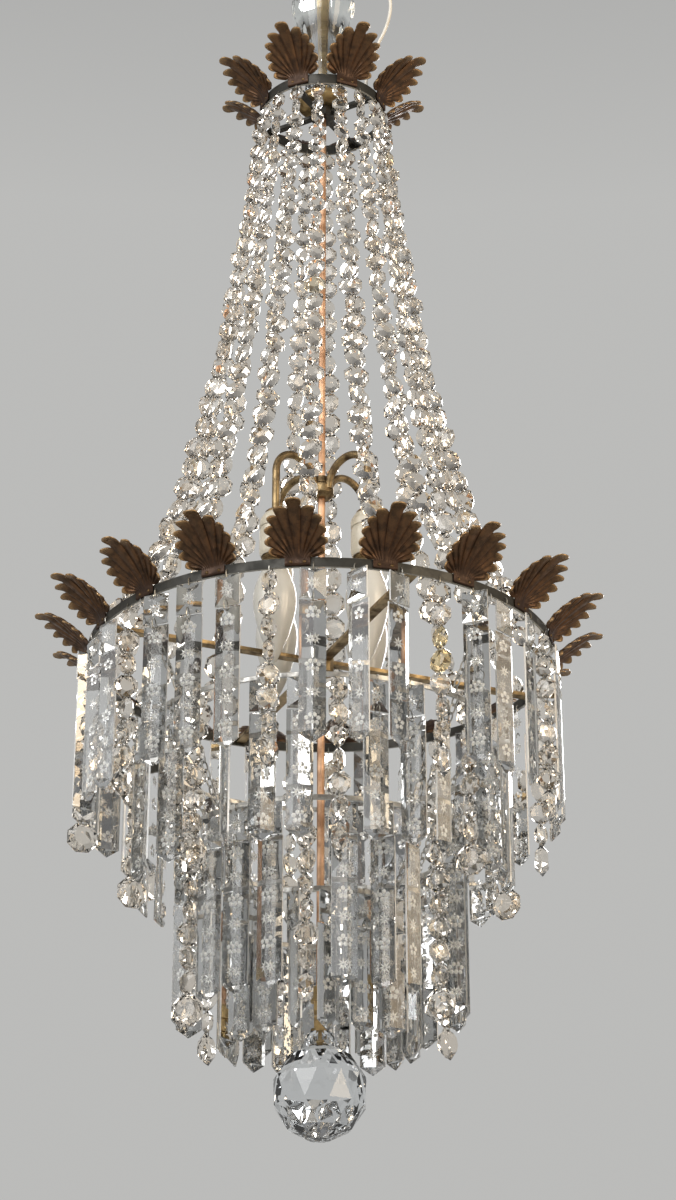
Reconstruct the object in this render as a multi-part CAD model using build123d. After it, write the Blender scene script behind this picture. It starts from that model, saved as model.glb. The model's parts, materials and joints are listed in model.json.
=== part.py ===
from build123d import *
import math
import os

# Crystal tent-and-waterfall chandelier. Millimetres, +Z up.
# The origin is the centre of the hanging eye's bore. Bearing 0 faces the viewer (-Y)
# and grows towards +X. A piece is first drawn facing -Y, then turned to its bearing.

# ---- Overall sizes -------------------------------------------------------------------
EYE_TO_CROWN = 165.0          # eye centre down to the crown ring's top edge
TENT_HEIGHT = 530.0           # crown ring's top edge down to the main hoop's top edge
MAIN_RADIUS = 186.0           # middle of the main hoop's band
CROWN_RADIUS = 54.0           # middle of the crown ring's band

CROWN_TOP = -EYE_TO_CROWN
MAIN_TOP = CROWN_TOP - TENT_HEIGHT

# ---- Bands ---------------------------------------------------------------------------
BAND_THICK = 2.0
CROWN_BAND = 10.0             # band heights
MAIN_BAND = 8.0
LOWER_BAND = 4.0
LEAF_COUNT = 18
CROWN_LEAF_COUNT = 8
LEAF_PHASE = -5.0
CROWN_LEAF_PHASE = 22.5

# ---- Waterfall tiers below the main hoop: middle radius, and drop below its top edge ---
SECOND_RADIUS = 145.0
SECOND_DROP = 74.0
THIRD_RADIUS = 108.0
THIRD_DROP = 157.0
FOURTH_RADIUS = 73.0
FOURTH_DROP = 216.0

# ---- Hanging places: one in four carries a bead string, the others a prism -------------
STRING_EVERY = 4
MAIN_PLACES = 36
SECOND_PLACES = 32
THIRD_PLACES = 24
FOURTH_PLACES = 18
MAIN_PHASE = -11.5
SECOND_PHASE = 5.6
THIRD_PHASE = -5.0
FOURTH_PHASE = 6.0

# ---- Crystals --------------------------------------------------------------------------
BUTTON_WIDTH = 20.0
BUTTON_HEIGHT = 24.5
BUTTON_DEPTH = 6.0
BAR_WIDTH = 20.0
BAR_DEPTH = 8.0
BAR_POINT = 7.0               # height of the pointed end
MAIN_BAR = 112.0              # bar lengths, point included
SECOND_BAR = 100.0
THIRD_BAR = 116.0
FOURTH_BAR = 80.0
STRING_BEAD = 18.0            # octagons, across the flats
DROP_BEAD = 24.0
MAIN_STRING_BEADS = 7
SECOND_STRING_BEADS = 6
THIRD_STRING_BEADS = 7
TENT_STRANDS = 18
TENT_PHASE = -4.0
TENT_BEADS = 29
TENT_BEAD_TOP = 14.0          # graduated octagons, smallest at the crown
TENT_BEAD_BOTTOM = 22.0
BEAD_DEPTH_SHARE = 0.42       # depth of an octagon over its width
BALL_DIAMETER = 73.0          # over its corners
BALL_TOP = 318.0              # the ball's top flat below the main hoop's top edge
BALL_CORNERS = 12             # in each ring of facets
BALL_PHASE = 12.0
STEM_DEPTH = 8.0              # the yoke's stem in the ball
BALL_RINGS = (-76, -49, -17, 17, 49, 76)  # latitudes of the rings, in degrees
COLLAR_DIAMETER = 24.0
COLLAR_HEIGHT = 10.0

# ---- Clearances ------------------------------------------------------------------------
HANG_GAP = 0.5                # a crystal's wire pin keeps it this far below its hoop
LINK_GAP = 0.6                # between two crystals pinned together
SEAT_GAP = 0.3
RUNNING = 0.1                 # radial clearance of a hinge pin in its hole
SIDE_PLAY = 0.2

# ---- Stem, rod and lamps ---------------------------------------------------------------
EYE_BORE = 10.0
EYE_OUTER = 15.0
EYE_THICK = 6.0
ROD_RADIUS = 3.0
TUBE_RADIUS = 5.5
ROUND_SIDES = 12              # flats that a round bar or hole is drawn with
CAP_HEIGHT = 16.0
CAP_SKIRT = 9.0               # straight part of the cap, below its shoulder
CAP_RADIUS = 16.0
CUP_HEIGHT = 10.0
CUP_RADIUS = 22.0
HUB_RADIUS = 10.0
HUB_SIDES = 12
SPIDER_ARMS = 4
SPIDER_PHASE = 22.5           # the main spider's arms pass between the bulbs
SPIDER_HUB = 14.0             # height of the main spider's hub
STAY_WIDTH = 3.0
LAMP_COUNT = 4
LAMP_HUB_HEIGHT = 150.0       # lamp bracket's hub above the main hoop's top edge
LAMP_RADIUS = 52.0            # lampholders from the axis
LAMP_ARM = 6.0                # arm section
ARCH_BENDS = 6                # straight runs that an arm's arch is drawn with
LAMP_DROP = 38.0              # straight end of an arm below the hub
HOLDER_RADIUS = 13.0
HOLDER_HEIGHT = 40.0
BULB_RADIUS = 17.5
BULB_LENGTH = 92.0

# ---- Ball suspension -------------------------------------------------------------------
PIN_RADIUS = 1.5
EAR_RADIUS = 4.5
LINK_THICK = 3.0
PIN_PITCH = 11.0              # between the link's two pins
FORK_RADIUS = 7.0
FORK_HEIGHT = 11.0

# ---- Flex ------------------------------------------------------------------------------
FLEX_RADIUS = 1.5
FLEX_BEARING = 60.0
BUSH_RADIUS = 3.5
# its points as distance from the axis and height above the crown ring's top edge
FLEX_POINTS = [(44, 7), (44, 25), (53, 46), (66, 66), (71, 91), (63, 115), (43, 132)]
FLEX_ENTRY = 6.0              # where it goes into the cap, above the cap's lower edge


def radial(radius, bearing, height=0.0):
    """A point at a distance from the axis, a bearing and a height."""
    angle = math.radians(bearing)
    return Vector(radius * math.sin(angle), -radius * math.cos(angle), height)


def bearings(count, phase):
    return [phase + 360.0 * k / count for k in range(count)]


def placed(shape, radius, bearing, height, turn=0.0):
    """A shape drawn facing -Y, moved out to its bearing and turned about its own upright axis."""
    return Location(radial(radius, bearing, height)) * Rot(0, 0, bearing + turn) * shape


def save(name, shapes):
    """Write one node: a single solid, or a group of separate ones."""
    solids = [solid for shape in shapes for solid in shape.solids()]
    group = solids[0] if len(solids) == 1 else Compound(children=solids)
    export_step(group, f"parts/{name}.step")


def polygon_ring(sides, radius, height):
    """Corner points of a regular polygon whose first flat faces -Y; radius is to its flats."""
    corner = radius / math.cos(math.pi / sides)
    return [radial(corner, 360.0 * (k + 0.5) / sides, height) for k in range(sides)]


def cut_form(sides, profile):
    """A panel-cut form: flat-sided frustums between successive (radius, height) pairs."""
    form = None
    for (low_radius, low), (high_radius, high) in zip(profile, profile[1:]):
        points = polygon_ring(sides, low_radius, low) + polygon_ring(sides, high_radius, high)
        stage = ConvexPolyhedron(points)
        form = stage if form is None else form + stage
    return form


def upright(radius, low, high):
    """A round bar or hole along the axis, drawn with flats."""
    return cut_form(ROUND_SIDES, [(radius, low), (radius, high)])


# ---- Metal bands and leaves --------------------------------------------------------------
def band(radius, height, top, sides, phase):
    """A hoop of flat strip with one flat per leaf or pair of pins, its first flat at the phase."""
    outer = RegularPolygon(radius + BAND_THICK / 2, sides, major_radius=False)
    inner = RegularPolygon(radius - BAND_THICK / 2, sides, major_radius=False)
    first_flat = phase - 90 + 180.0 / sides
    return Pos(0, 0, top - height) * Rot(0, 0, first_flat) * extrude(outer - inner, height)


LEAF_THICK = 1.2
LEAF_RISE = 33.0              # degrees above the horizontal
# half outline: distance along the leaf, half width; lobes and the notches between them
LEAF_EDGE = [(0, 12), (10, 20.5), (17, 15.5), (26, 20), (32, 13.5), (41, 14.5), (52, 5.5)]


def leaf(band_height):
    """A seven-lobed sheet leaf that leans outward, and the tab that rivets it to its band."""
    right = [(width, -along) for along, width in LEAF_EDGE]
    left = [(-width, -along) for along, width in reversed(LEAF_EDGE)]
    blade = Rot(-LEAF_RISE, 0, 0) * extrude(make_face(Polyline(*right, *left, close=True)), LEAF_THICK)
    tab_height = band_height - 1
    tab = Pos(0, -LEAF_THICK / 2, -tab_height / 2) * Box(2 * LEAF_EDGE[0][1], LEAF_THICK, tab_height)
    clear_of_band = LEAF_THICK * math.sin(math.radians(LEAF_RISE))
    return Pos(0, -clear_of_band, -LEAF_THICK) * blade + tab


def leaves(count, phase, radius, top, band_height):
    one = leaf(band_height)
    seat = radius + BAND_THICK / 2
    return [placed(one, seat, bearing, top) for bearing in bearings(count, phase)]


# ---- Crystals ----------------------------------------------------------------------------
def cut_bead(width):
    """A cut bead standing upright, its width across the flats.

    The front and back tables are triangles, half a side apart, with a facet between every
    two of their edges. There are hundreds, so the octagon's outline is drawn with six sides.
    """
    depth = width * BEAD_DEPTH_SHARE
    corner = width / 2 / math.cos(math.radians(30))
    points = []
    for face, first in ((-1, 60), (1, 120)):
        for third in range(3):
            angle = math.radians(first + 120 * third)
            points.append((corner * math.cos(angle), face * depth / 2, corner * math.sin(angle)))
    return ConvexPolyhedron(points)


def button():
    """The square crystal above a bar, its upper edge at height 0: flat back, bevelled front.

    Its back stands just behind the pin's line, so that its rim hangs under the band.
    """
    back = BAND_THICK / 2 - 0.1
    bevel = BUTTON_DEPTH * 0.8
    points = []
    for side in (-1, 1):
        for height in (0, -BUTTON_HEIGHT):
            points.append((side * BUTTON_WIDTH / 2, back, height))
            inward = -bevel if height == 0 else -BUTTON_HEIGHT + bevel
            points.append((side * (BUTTON_WIDTH / 2 - bevel), back - BUTTON_DEPTH, inward))
    return ConvexPolyhedron(points)


def bar(length):
    """A ridged bar with a pointed end, its upper edge at height 0: flat back, two front faces.

    The back stands a third of the depth behind the pin's line, which hangs the weight under it.
    """
    back = BAR_DEPTH / 3
    ridge = back - BAR_DEPTH
    shoulder = BAR_POINT - length
    half = BAR_WIDTH / 2
    points = [(0, back, -length), (0, ridge, 0), (0, ridge, shoulder)]
    points += [(side * half, back, height) for side in (-1, 1) for height in (0, shoulder)]
    return ConvexPolyhedron(points)


def pendant(length):
    """A button with its bar pinned below it, hung from height 0."""
    top = Pos(0, 0, -HANG_GAP) * button()
    low = Pos(0, 0, -HANG_GAP - BUTTON_HEIGHT - LINK_GAP) * bar(length)
    return [top, low]


def bead_string(count):
    """A string of equal octagons that ends in a larger one, hung from height 0."""
    small = cut_bead(STRING_BEAD)
    pitch = STRING_BEAD + LINK_GAP
    beads = [Pos(0, 0, -HANG_GAP - STRING_BEAD / 2 - k * pitch) * small for k in range(count)]
    last = Pos(0, 0, -HANG_GAP - count * pitch - DROP_BEAD / 2) * cut_bead(DROP_BEAD)
    return beads + [last]


def casual_turn(place):
    """How far a hanging crystal happens to be turned on its pin: up to a third of a turn, uneven."""
    return 62.0 * math.sin(2.1 * place + 0.6) * abs(math.cos(1.3 * place))


def hung_places(count, phase, string_every):
    """Bearings that carry prisms and bearings that carry strings, with their place numbers."""
    places = list(enumerate(bearings(count, phase)))
    strings = [pair for pair in places if string_every and pair[0] % string_every == 0]
    prisms = [pair for pair in places if pair not in strings]
    return prisms, strings


def hang(pieces, radius, bearing, height, turn=0.0):
    return [placed(piece, radius, bearing, height, turn) for piece in pieces]


# ---- Tent strands -------------------------------------------------------------------------
TENT_SAG = 62.0               # the catenary's parameter: smaller hangs rounder


def tent_curve():
    """The hanging line of a strand, as a function of distance along it from the crown.

    It runs from under the crown band to just above the main hoop's inner edge, on a
    catenary whose lowest point would lie outside the hoop.
    """
    start_r, start_z = CROWN_RADIUS, CROWN_TOP - CROWN_BAND
    end_r, end_z = MAIN_RADIUS - BAND_THICK / 2, MAIN_TOP
    low, high = end_r, end_r + 6 * TENT_SAG
    for _ in range(60):
        vertex = (low + high) / 2
        fall = TENT_SAG * (math.cosh((vertex - start_r) / TENT_SAG) - math.cosh((vertex - end_r) / TENT_SAG))
        if fall < start_z - end_z:
            low = vertex
        else:
            high = vertex
    start_s = TENT_SAG * math.sinh((vertex - start_r) / TENT_SAG)
    length = start_s - TENT_SAG * math.sinh((vertex - end_r) / TENT_SAG)

    def at(distance):
        steepness = (start_s - distance) / TENT_SAG
        radius = vertex - TENT_SAG * math.asinh(steepness)
        drop = TENT_SAG * (math.cosh((vertex - start_r) / TENT_SAG) - math.sqrt(1 + steepness**2))
        lean = math.degrees(math.atan2(1, steepness))
        return radius, start_z - drop, lean

    return at, length


def tent_strand():
    """Graduated octagons strung along the hanging line, nearly touching, as (bead, r, z, lean)."""
    at, length = tent_curve()
    growth = (TENT_BEAD_BOTTOM - TENT_BEAD_TOP) / (TENT_BEADS - 1)
    widths = [TENT_BEAD_TOP + growth * k for k in range(TENT_BEADS)]
    fit = (length - LINK_GAP * TENT_BEADS - HANG_GAP) / sum(widths)
    strand = []
    distance = HANG_GAP
    for width in widths:
        distance += width * fit / 2
        strand.append((cut_bead(width * fit),) + at(distance))
        distance += width * fit / 2 + LINK_GAP
    return strand


def tent():
    strand = tent_strand()
    beads = []
    for bearing in bearings(TENT_STRANDS, TENT_PHASE):
        for bead, radius, height, lean in strand:
            beads.append(placed(Rot(-lean, 0, 0) * bead, radius, bearing, height))
    return beads


# ---- Stem, spiders and rod ----------------------------------------------------------------
CAP_LOW = -EYE_OUTER - 2 - CAP_HEIGHT
ROD_LOW = MAIN_TOP - BALL_TOP + COLLAR_HEIGHT + 3 + EAR_RADIUS + SEAT_GAP + PIN_PITCH
LINK_PIN_Z = ROD_LOW
BALL_PIN_Z = LINK_PIN_Z - PIN_PITCH
SHANK_TOP = CAP_LOW + CAP_HEIGHT
ROD_END = ROD_LOW + EAR_RADIUS + 3


def hanging_eye():
    ring = Pos(0, EYE_THICK / 2, 0) * Rot(90, 0, 0) * extrude(
        RegularPolygon(EYE_OUTER, 2 * ROUND_SIDES, major_radius=False), EYE_THICK)
    shank = upright(EYE_THICK / 2, CAP_LOW + CAP_HEIGHT / 2, -EYE_BORE - 1)
    return ring + shank - Rot(90, 0, 0) * Cylinder(EYE_BORE, EYE_THICK * 2)


def stem_cap():
    """Turned cap over the baluster, drilled for the eye's shank, the rod and the flex."""
    profile = [(CAP_RADIUS, CAP_LOW), (CAP_RADIUS, CAP_LOW + CAP_SKIRT), (EYE_THICK, SHANK_TOP)]
    middle = CAP_LOW + CAP_HEIGHT / 2
    form = cut_form(HUB_SIDES, profile) - upright(EYE_THICK / 2, middle, 0)
    return form - upright(ROD_RADIUS, CAP_LOW - 1, middle)


CUP_LOW = CROWN_TOP
BALUSTER_LOW = CUP_LOW + 3
BALUSTER_TOP = CAP_LOW


def baluster():
    """Panel-cut glass baluster: foot, neck, then a swelling shoulder under the cap."""
    height = BALUSTER_TOP - BALUSTER_LOW
    shape = [(17, 0), (17.5, 0.07), (13.5, 0.16), (14, 0.26), (19, 0.55), (28.5, 0.84), (26, 0.93), (14, 1)]
    profile = [(radius, BALUSTER_LOW + height * share) for radius, share in shape]
    return cut_form(12, profile) - upright(TUBE_RADIUS + SEAT_GAP, BALUSTER_LOW - 1, BALUSTER_TOP + 1)


def baluster_cup():
    """Brass cup that the baluster's foot stands in."""
    flare = [(CUP_RADIUS - 4, CUP_LOW), (CUP_RADIUS, CUP_LOW + 4), (CUP_RADIUS, CUP_LOW + CUP_HEIGHT)]
    outside = cut_form(HUB_SIDES, flare)
    seat = cut_form(HUB_SIDES, [(CUP_RADIUS - 2, BALUSTER_LOW), (CUP_RADIUS - 2, CUP_LOW + CUP_HEIGHT + 1)])
    return outside - seat - upright(TUBE_RADIUS, CUP_LOW - 1, BALUSTER_LOW + 1)


def stem_tube():
    rod_way = upright(ROD_RADIUS + SEAT_GAP, CUP_LOW - 1, BALUSTER_TOP + 1)
    return upright(TUBE_RADIUS, CUP_LOW, BALUSTER_TOP) - rod_way


def center_rod():
    return upright(ROD_RADIUS, ROD_END, CAP_LOW + CAP_HEIGHT / 2)


def spider(hub_top, hub_height, reach, arm_top, arm_width, arm_thick, phase):
    """Hub on the rod with flat arms out to a band's inner face."""
    form = cut_form(HUB_SIDES, [(HUB_RADIUS, hub_top - hub_height), (HUB_RADIUS, hub_top)])
    arm = Pos(0, -reach / 2, arm_top - arm_thick / 2) * Box(arm_width, reach, arm_thick)
    for bearing in bearings(SPIDER_ARMS, phase):
        form += Rot(0, 0, bearing) * arm
    return form - upright(ROD_RADIUS, hub_top - hub_height - 1, hub_top + 1)


def crown_spider():
    """The crown's spider, with the bush that the flex comes out of on one of its arms."""
    reach = CROWN_RADIUS - BAND_THICK / 2 - 0.1
    form = spider(CROWN_TOP, CROWN_BAND, reach, CROWN_TOP - 3, 6, 3, FLEX_BEARING)
    out, height = FLEX_POINTS[0]
    bush = upright(BUSH_RADIUS, CROWN_TOP - 3, CROWN_TOP + height)
    return form + Location(radial(out, FLEX_BEARING)) * bush


def main_spider():
    reach = MAIN_RADIUS - BAND_THICK / 2 - 0.1
    return spider(MAIN_TOP, SPIDER_HUB, reach, MAIN_TOP - 2.5, 8, 3, SPIDER_PHASE)


def stay(high_radius, high, low_radius, low):
    """One straight stay between two hoops, drawn facing -Y."""
    corners = []
    for radius, height in ((high_radius, high), (low_radius, low)):
        for side in (-STAY_WIDTH / 2, STAY_WIDTH / 2):
            for edge in (-BAND_THICK / 2, BAND_THICK / 2):
                corners.append((side, -radius + edge, height))
    return ConvexPolyhedron(corners)


def between_places(places, phase, near):
    """The bearing midway between the two hanging places on either side of a bearing."""
    pitch = 360.0 / places
    return phase + pitch * (math.floor((near - phase) / pitch) + 0.5)


def stays():
    """Stays that carry each lower hoop from the one above, clear of the crystals beside them."""
    levels = [(MAIN_RADIUS, 0, MAIN_BAND, MAIN_PLACES, MAIN_PHASE)]
    levels.append((SECOND_RADIUS, SECOND_DROP, LOWER_BAND, SECOND_PLACES, SECOND_PHASE))
    levels.append((THIRD_RADIUS, THIRD_DROP, LOWER_BAND, THIRD_PLACES, THIRD_PHASE))
    levels.append((FOURTH_RADIUS, FOURTH_DROP, LOWER_BAND, FOURTH_PLACES, FOURTH_PHASE))
    pieces = []
    for (high_r, high_drop, height, places, phase), (low_r, low_drop, *_) in zip(levels, levels[1:]):
        high = MAIN_TOP - high_drop - height - SEAT_GAP
        one = stay(high_r, high, low_r, MAIN_TOP - low_drop + SEAT_GAP)
        for bearing in bearings(SPIDER_ARMS, 45):
            pieces.append(Rot(0, 0, between_places(places, phase, bearing)) * one)
    return pieces


# ---- Lamps ----------------------------------------------------------------------------------
def lamp_bracket():
    """Hub on the rod with arched arms that turn down to the lampholders."""
    height = MAIN_TOP + LAMP_HUB_HEIGHT
    inner = HUB_RADIUS - 2
    arch = (LAMP_RADIUS - inner) / 2
    bends = [math.radians(180.0 * k / ARCH_BENDS) for k in range(ARCH_BENDS + 1)]
    route = [(0, -inner - arch + arch * math.cos(bend), height + arch * math.sin(bend)) for bend in bends]
    route.append((0, -LAMP_RADIUS, height - LAMP_DROP))
    path = Polyline(*route)
    section = Plane(origin=path @ 0, z_dir=path % 0) * Rectangle(LAMP_ARM, LAMP_ARM)
    arm = sweep(section, path=path, transition=Transition.RIGHT)
    form = cut_form(HUB_SIDES, [(HUB_RADIUS, height - 7), (HUB_RADIUS, height + 7)])
    for bearing in bearings(LAMP_COUNT, 45):
        form += Rot(0, 0, bearing) * arm
    return form - upright(ROD_RADIUS, height - 8, height + 8)


HOLDER_TOP = MAIN_TOP + LAMP_HUB_HEIGHT - LAMP_DROP


def lampholder():
    low = -HOLDER_HEIGHT
    return cut_form(12, [(HOLDER_RADIUS, low), (HOLDER_RADIUS, -8), (HOLDER_RADIUS * 0.6, 0)])


def bulb():
    """Candle bulb hanging from its holder, point down."""
    shape = [(1.5, 1), (7, 0.86), (BULB_RADIUS * 0.85, 0.6), (BULB_RADIUS, 0.4), (BULB_RADIUS * 0.62, 0.0)]
    return cut_form(10, [(radius, -BULB_LENGTH * share) for radius, share in shape])


# ---- Ball and its suspension -------------------------------------------------------------------
def eye_head(pin_height, thick):
    """The flat-sided head around a hinge pin along X."""
    return Pos(-thick / 2, 0, pin_height) * Rot(0, 90, 0) * extrude(
        RegularPolygon(EAR_RADIUS, 8, major_radius=False, rotation=22.5), thick)


def cross_bore(radius, length, height):
    return Pos(0, 0, height) * Rot(0, 90, 0) * Cylinder(radius, length)


def ears(turn, pin_height, root):
    """Two ears that reach from the root to a fixed pin along X, turned about the axis."""
    outer = LINK_THICK / 2 + SIDE_PLAY
    middle = (pin_height + root) / 2
    cheek = Pos(0, 0, middle) * Box(LINK_THICK, 2 * EAR_RADIUS, abs(pin_height - root))
    ear = eye_head(pin_height, LINK_THICK) + cheek
    pair = [Pos(side * (outer + LINK_THICK / 2), 0, 0) * ear for side in (-1, 1)]
    pin = cross_bore(PIN_RADIUS, 2 * (outer + LINK_THICK), pin_height)
    return Rot(0, 0, turn) * (pair[0] + pair[1] + pin)


def rod_fork():
    """Fork screwed on the rod's end, with the link's upper pin along X."""
    root = LINK_PIN_Z + EAR_RADIUS + 2 * SEAT_GAP
    body = cut_form(8, [(FORK_RADIUS, root), (FORK_RADIUS, root + FORK_HEIGHT)])
    return body + ears(0, LINK_PIN_Z, root) - upright(ROD_RADIUS, ROD_END, root + FORK_HEIGHT + 1)


def ball_link():
    """Link with an eye across each end, the lower one a quarter turn from the upper."""
    middle = (LINK_PIN_Z + BALL_PIN_Z) / 2
    form = None
    for turn, pin_height in ((0, LINK_PIN_Z), (90, BALL_PIN_Z)):
        reach = abs(pin_height - middle)
        cheek = Pos(0, 0, (pin_height + middle) / 2) * Box(LINK_THICK, 2 * EAR_RADIUS, reach)
        hole = cross_bore(PIN_RADIUS + RUNNING, 2 * LINK_THICK, pin_height)
        half = Rot(0, 0, turn) * (eye_head(pin_height, LINK_THICK) + cheek - hole)
        form = half if form is None else form + half
    return form


COLLAR_TOP = MAIN_TOP - BALL_TOP + COLLAR_HEIGHT


def ball_yoke():
    """Yoke over the link's lower pin, with the stem that carries the collar and the ball."""
    root = BALL_PIN_Z - EAR_RADIUS - 2 * SEAT_GAP
    plate = cut_form(8, [(FORK_RADIUS, COLLAR_TOP), (FORK_RADIUS, root)])
    stem = upright(PIN_RADIUS, COLLAR_TOP - COLLAR_HEIGHT - STEM_DEPTH, COLLAR_TOP + 1)
    return plate + stem + ears(90, BALL_PIN_Z, root)


def ball_collar():
    low = MAIN_TOP - BALL_TOP
    radius = COLLAR_DIAMETER / 2
    ring = cut_form(8, [(radius * 0.7, low), (radius, low + COLLAR_HEIGHT / 2), (radius * 0.7, COLLAR_TOP)])
    return ring - upright(PIN_RADIUS + RUNNING, low - 1, COLLAR_TOP + 1)


def crystal_ball():
    """Ball cut in triangles between rings of corners, each ring half a facet round from the last.

    The top is a flat under the collar, and the bottom comes to a point.
    """
    radius = BALL_DIAMETER / 2
    top = MAIN_TOP - BALL_TOP
    centre = top - radius * math.sin(math.radians(BALL_RINGS[-1]))
    pitch = 360.0 / BALL_CORNERS
    points = [(0, 0, centre - radius)]
    for ring, latitude in enumerate(BALL_RINGS):
        tilt = math.radians(latitude)
        for corner in range(BALL_CORNERS):
            bearing = BALL_PHASE + pitch * (corner + 0.5 * (ring % 2))
            points.append(radial(radius * math.cos(tilt), bearing, centre + radius * math.sin(tilt)))
    return ConvexPolyhedron(points) - upright(PIN_RADIUS + RUNNING, top - STEM_DEPTH - 1, top + 1)


def supply_flex():
    """Two-core flex from the crown's bush up past the baluster and into the cap's side."""
    route = [radial(out, FLEX_BEARING, CROWN_TOP + height) for out, height in FLEX_POINTS]
    route.append(radial(CAP_RADIUS + 0.5, FLEX_BEARING, CAP_LOW + FLEX_ENTRY))
    radii = []
    for before, corner, after in zip(route, route[1:], route[2:]):
        turn = (corner - before).get_angle(after - corner)
        shorter = min((corner - before).length, (after - corner).length)
        radii.append(0.45 * shorter / math.tan(math.radians(turn / 2)))
    print("flex bend radii", [round(radius, 1) for radius in radii])
    path = FilletPolyline(*route, radius=radii)
    section = Plane(origin=path @ 0, z_dir=path % 0) * RegularPolygon(FLEX_RADIUS, 6)
    tube = sweep(section, path=path)
    filled = tube.volume / (section.area * path.length)
    print("flex length", round(path.length, 1), "volume over section x length", round(filled, 4))
    return tube


def build_frame():
    save("hanging_eye", [hanging_eye()])
    save("stem_cap", [stem_cap()])
    save("stem_baluster", [baluster()])
    save("baluster_cup", [baluster_cup()])
    save("stem_tube", [stem_tube()])
    save("center_rod", [center_rod()])
    save("crown_spider", [crown_spider()])
    save("main_spider", [main_spider()])
    save("crown_ring", [band(CROWN_RADIUS, CROWN_BAND, CROWN_TOP, 24, CROWN_LEAF_PHASE)])
    save("main_hoop", [band(MAIN_RADIUS, MAIN_BAND, MAIN_TOP, 36, LEAF_PHASE)])
    save("second_hoop", [band(SECOND_RADIUS, LOWER_BAND, MAIN_TOP - SECOND_DROP, 32, SECOND_PHASE)])
    save("third_hoop", [band(THIRD_RADIUS, LOWER_BAND, MAIN_TOP - THIRD_DROP, 24, THIRD_PHASE)])
    save("fourth_hoop", [band(FOURTH_RADIUS, LOWER_BAND, MAIN_TOP - FOURTH_DROP, 18, FOURTH_PHASE)])
    save("hoop_stays", stays())
    save("crown_leaves", leaves(CROWN_LEAF_COUNT, CROWN_LEAF_PHASE, CROWN_RADIUS, CROWN_TOP, CROWN_BAND))
    save("main_leaves", leaves(LEAF_COUNT, LEAF_PHASE, MAIN_RADIUS, MAIN_TOP, MAIN_BAND))


def build_lamps():
    save("lamp_bracket", [lamp_bracket()])
    places = bearings(LAMP_COUNT, 45)
    holder = lampholder()
    save("lampholders", [placed(holder, LAMP_RADIUS, bearing, HOLDER_TOP) for bearing in places])
    low = HOLDER_TOP - HOLDER_HEIGHT
    glass = bulb()
    save("bulbs", [placed(glass, LAMP_RADIUS, bearing, low) for bearing in places])
    save("supply_flex", [supply_flex()])


def build_tier(name, radius, drop, band_height, places, phase, bar_length, beads, string_every):
    """Hang one tier and return its prisms, each a button and a bar, in the order of their bearings."""
    height = MAIN_TOP - drop - band_height
    prisms, strings = hung_places(places, phase, string_every)
    if strings:
        string = bead_string(beads)
        hung = [piece for _, bearing in strings for piece in hang(string, radius, bearing, height)]
        save(f"{name}_strings", hung)
    pair = pendant(bar_length)
    return [hang(pair, radius, bearing, height, casual_turn(place)) for place, bearing in prisms]


def build_crystals():
    save("tent_strands", tent())
    main = build_tier("main", MAIN_RADIUS, 0, MAIN_BAND, MAIN_PLACES, MAIN_PHASE, MAIN_BAR,
                      MAIN_STRING_BEADS, STRING_EVERY)
    for number, prism in enumerate(main, 1):
        save(f"main_prism_{number:02d}", prism)
    second = build_tier("second", SECOND_RADIUS, SECOND_DROP, LOWER_BAND, SECOND_PLACES, SECOND_PHASE,
                        SECOND_BAR, SECOND_STRING_BEADS, STRING_EVERY)
    save("second_prisms", [piece for prism in second for piece in prism])
    third = build_tier("third", THIRD_RADIUS, THIRD_DROP, LOWER_BAND, THIRD_PLACES, THIRD_PHASE,
                       THIRD_BAR, THIRD_STRING_BEADS, STRING_EVERY)
    save("third_prisms", [piece for prism in third for piece in prism])
    fourth = build_tier("fourth", FOURTH_RADIUS, FOURTH_DROP, LOWER_BAND, FOURTH_PLACES, FOURTH_PHASE,
                        FOURTH_BAR, 0, 0)
    save("fourth_prisms", [piece for prism in fourth for piece in prism])


def build_ball():
    save("rod_fork", [rod_fork()])
    save("ball_link", [ball_link()])
    save("ball_yoke", [ball_yoke()])
    save("ball_collar", [ball_collar()])
    save("crystal_ball", [crystal_ball()])


os.makedirs("parts", exist_ok=True)
build_frame()
build_lamps()
build_crystals()
build_ball()
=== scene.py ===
# %% [markdown]
# # A crystal chandelier, piece by piece
#
# The real lamp is a fountain of glass on a small iron frame. Eighteen strands of octagon beads
# run from a crown of bronze leaves down to a wide hoop, and below the hoop four rings of pinned
# prisms hang like a waterfall, with a faceted ball at the very bottom.
#
# The CAD model is loaded first and stays where it is. Everything made here sits in the same
# frame, so a crystal can simply be drawn at the place where the CAD says that it hangs.

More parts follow.
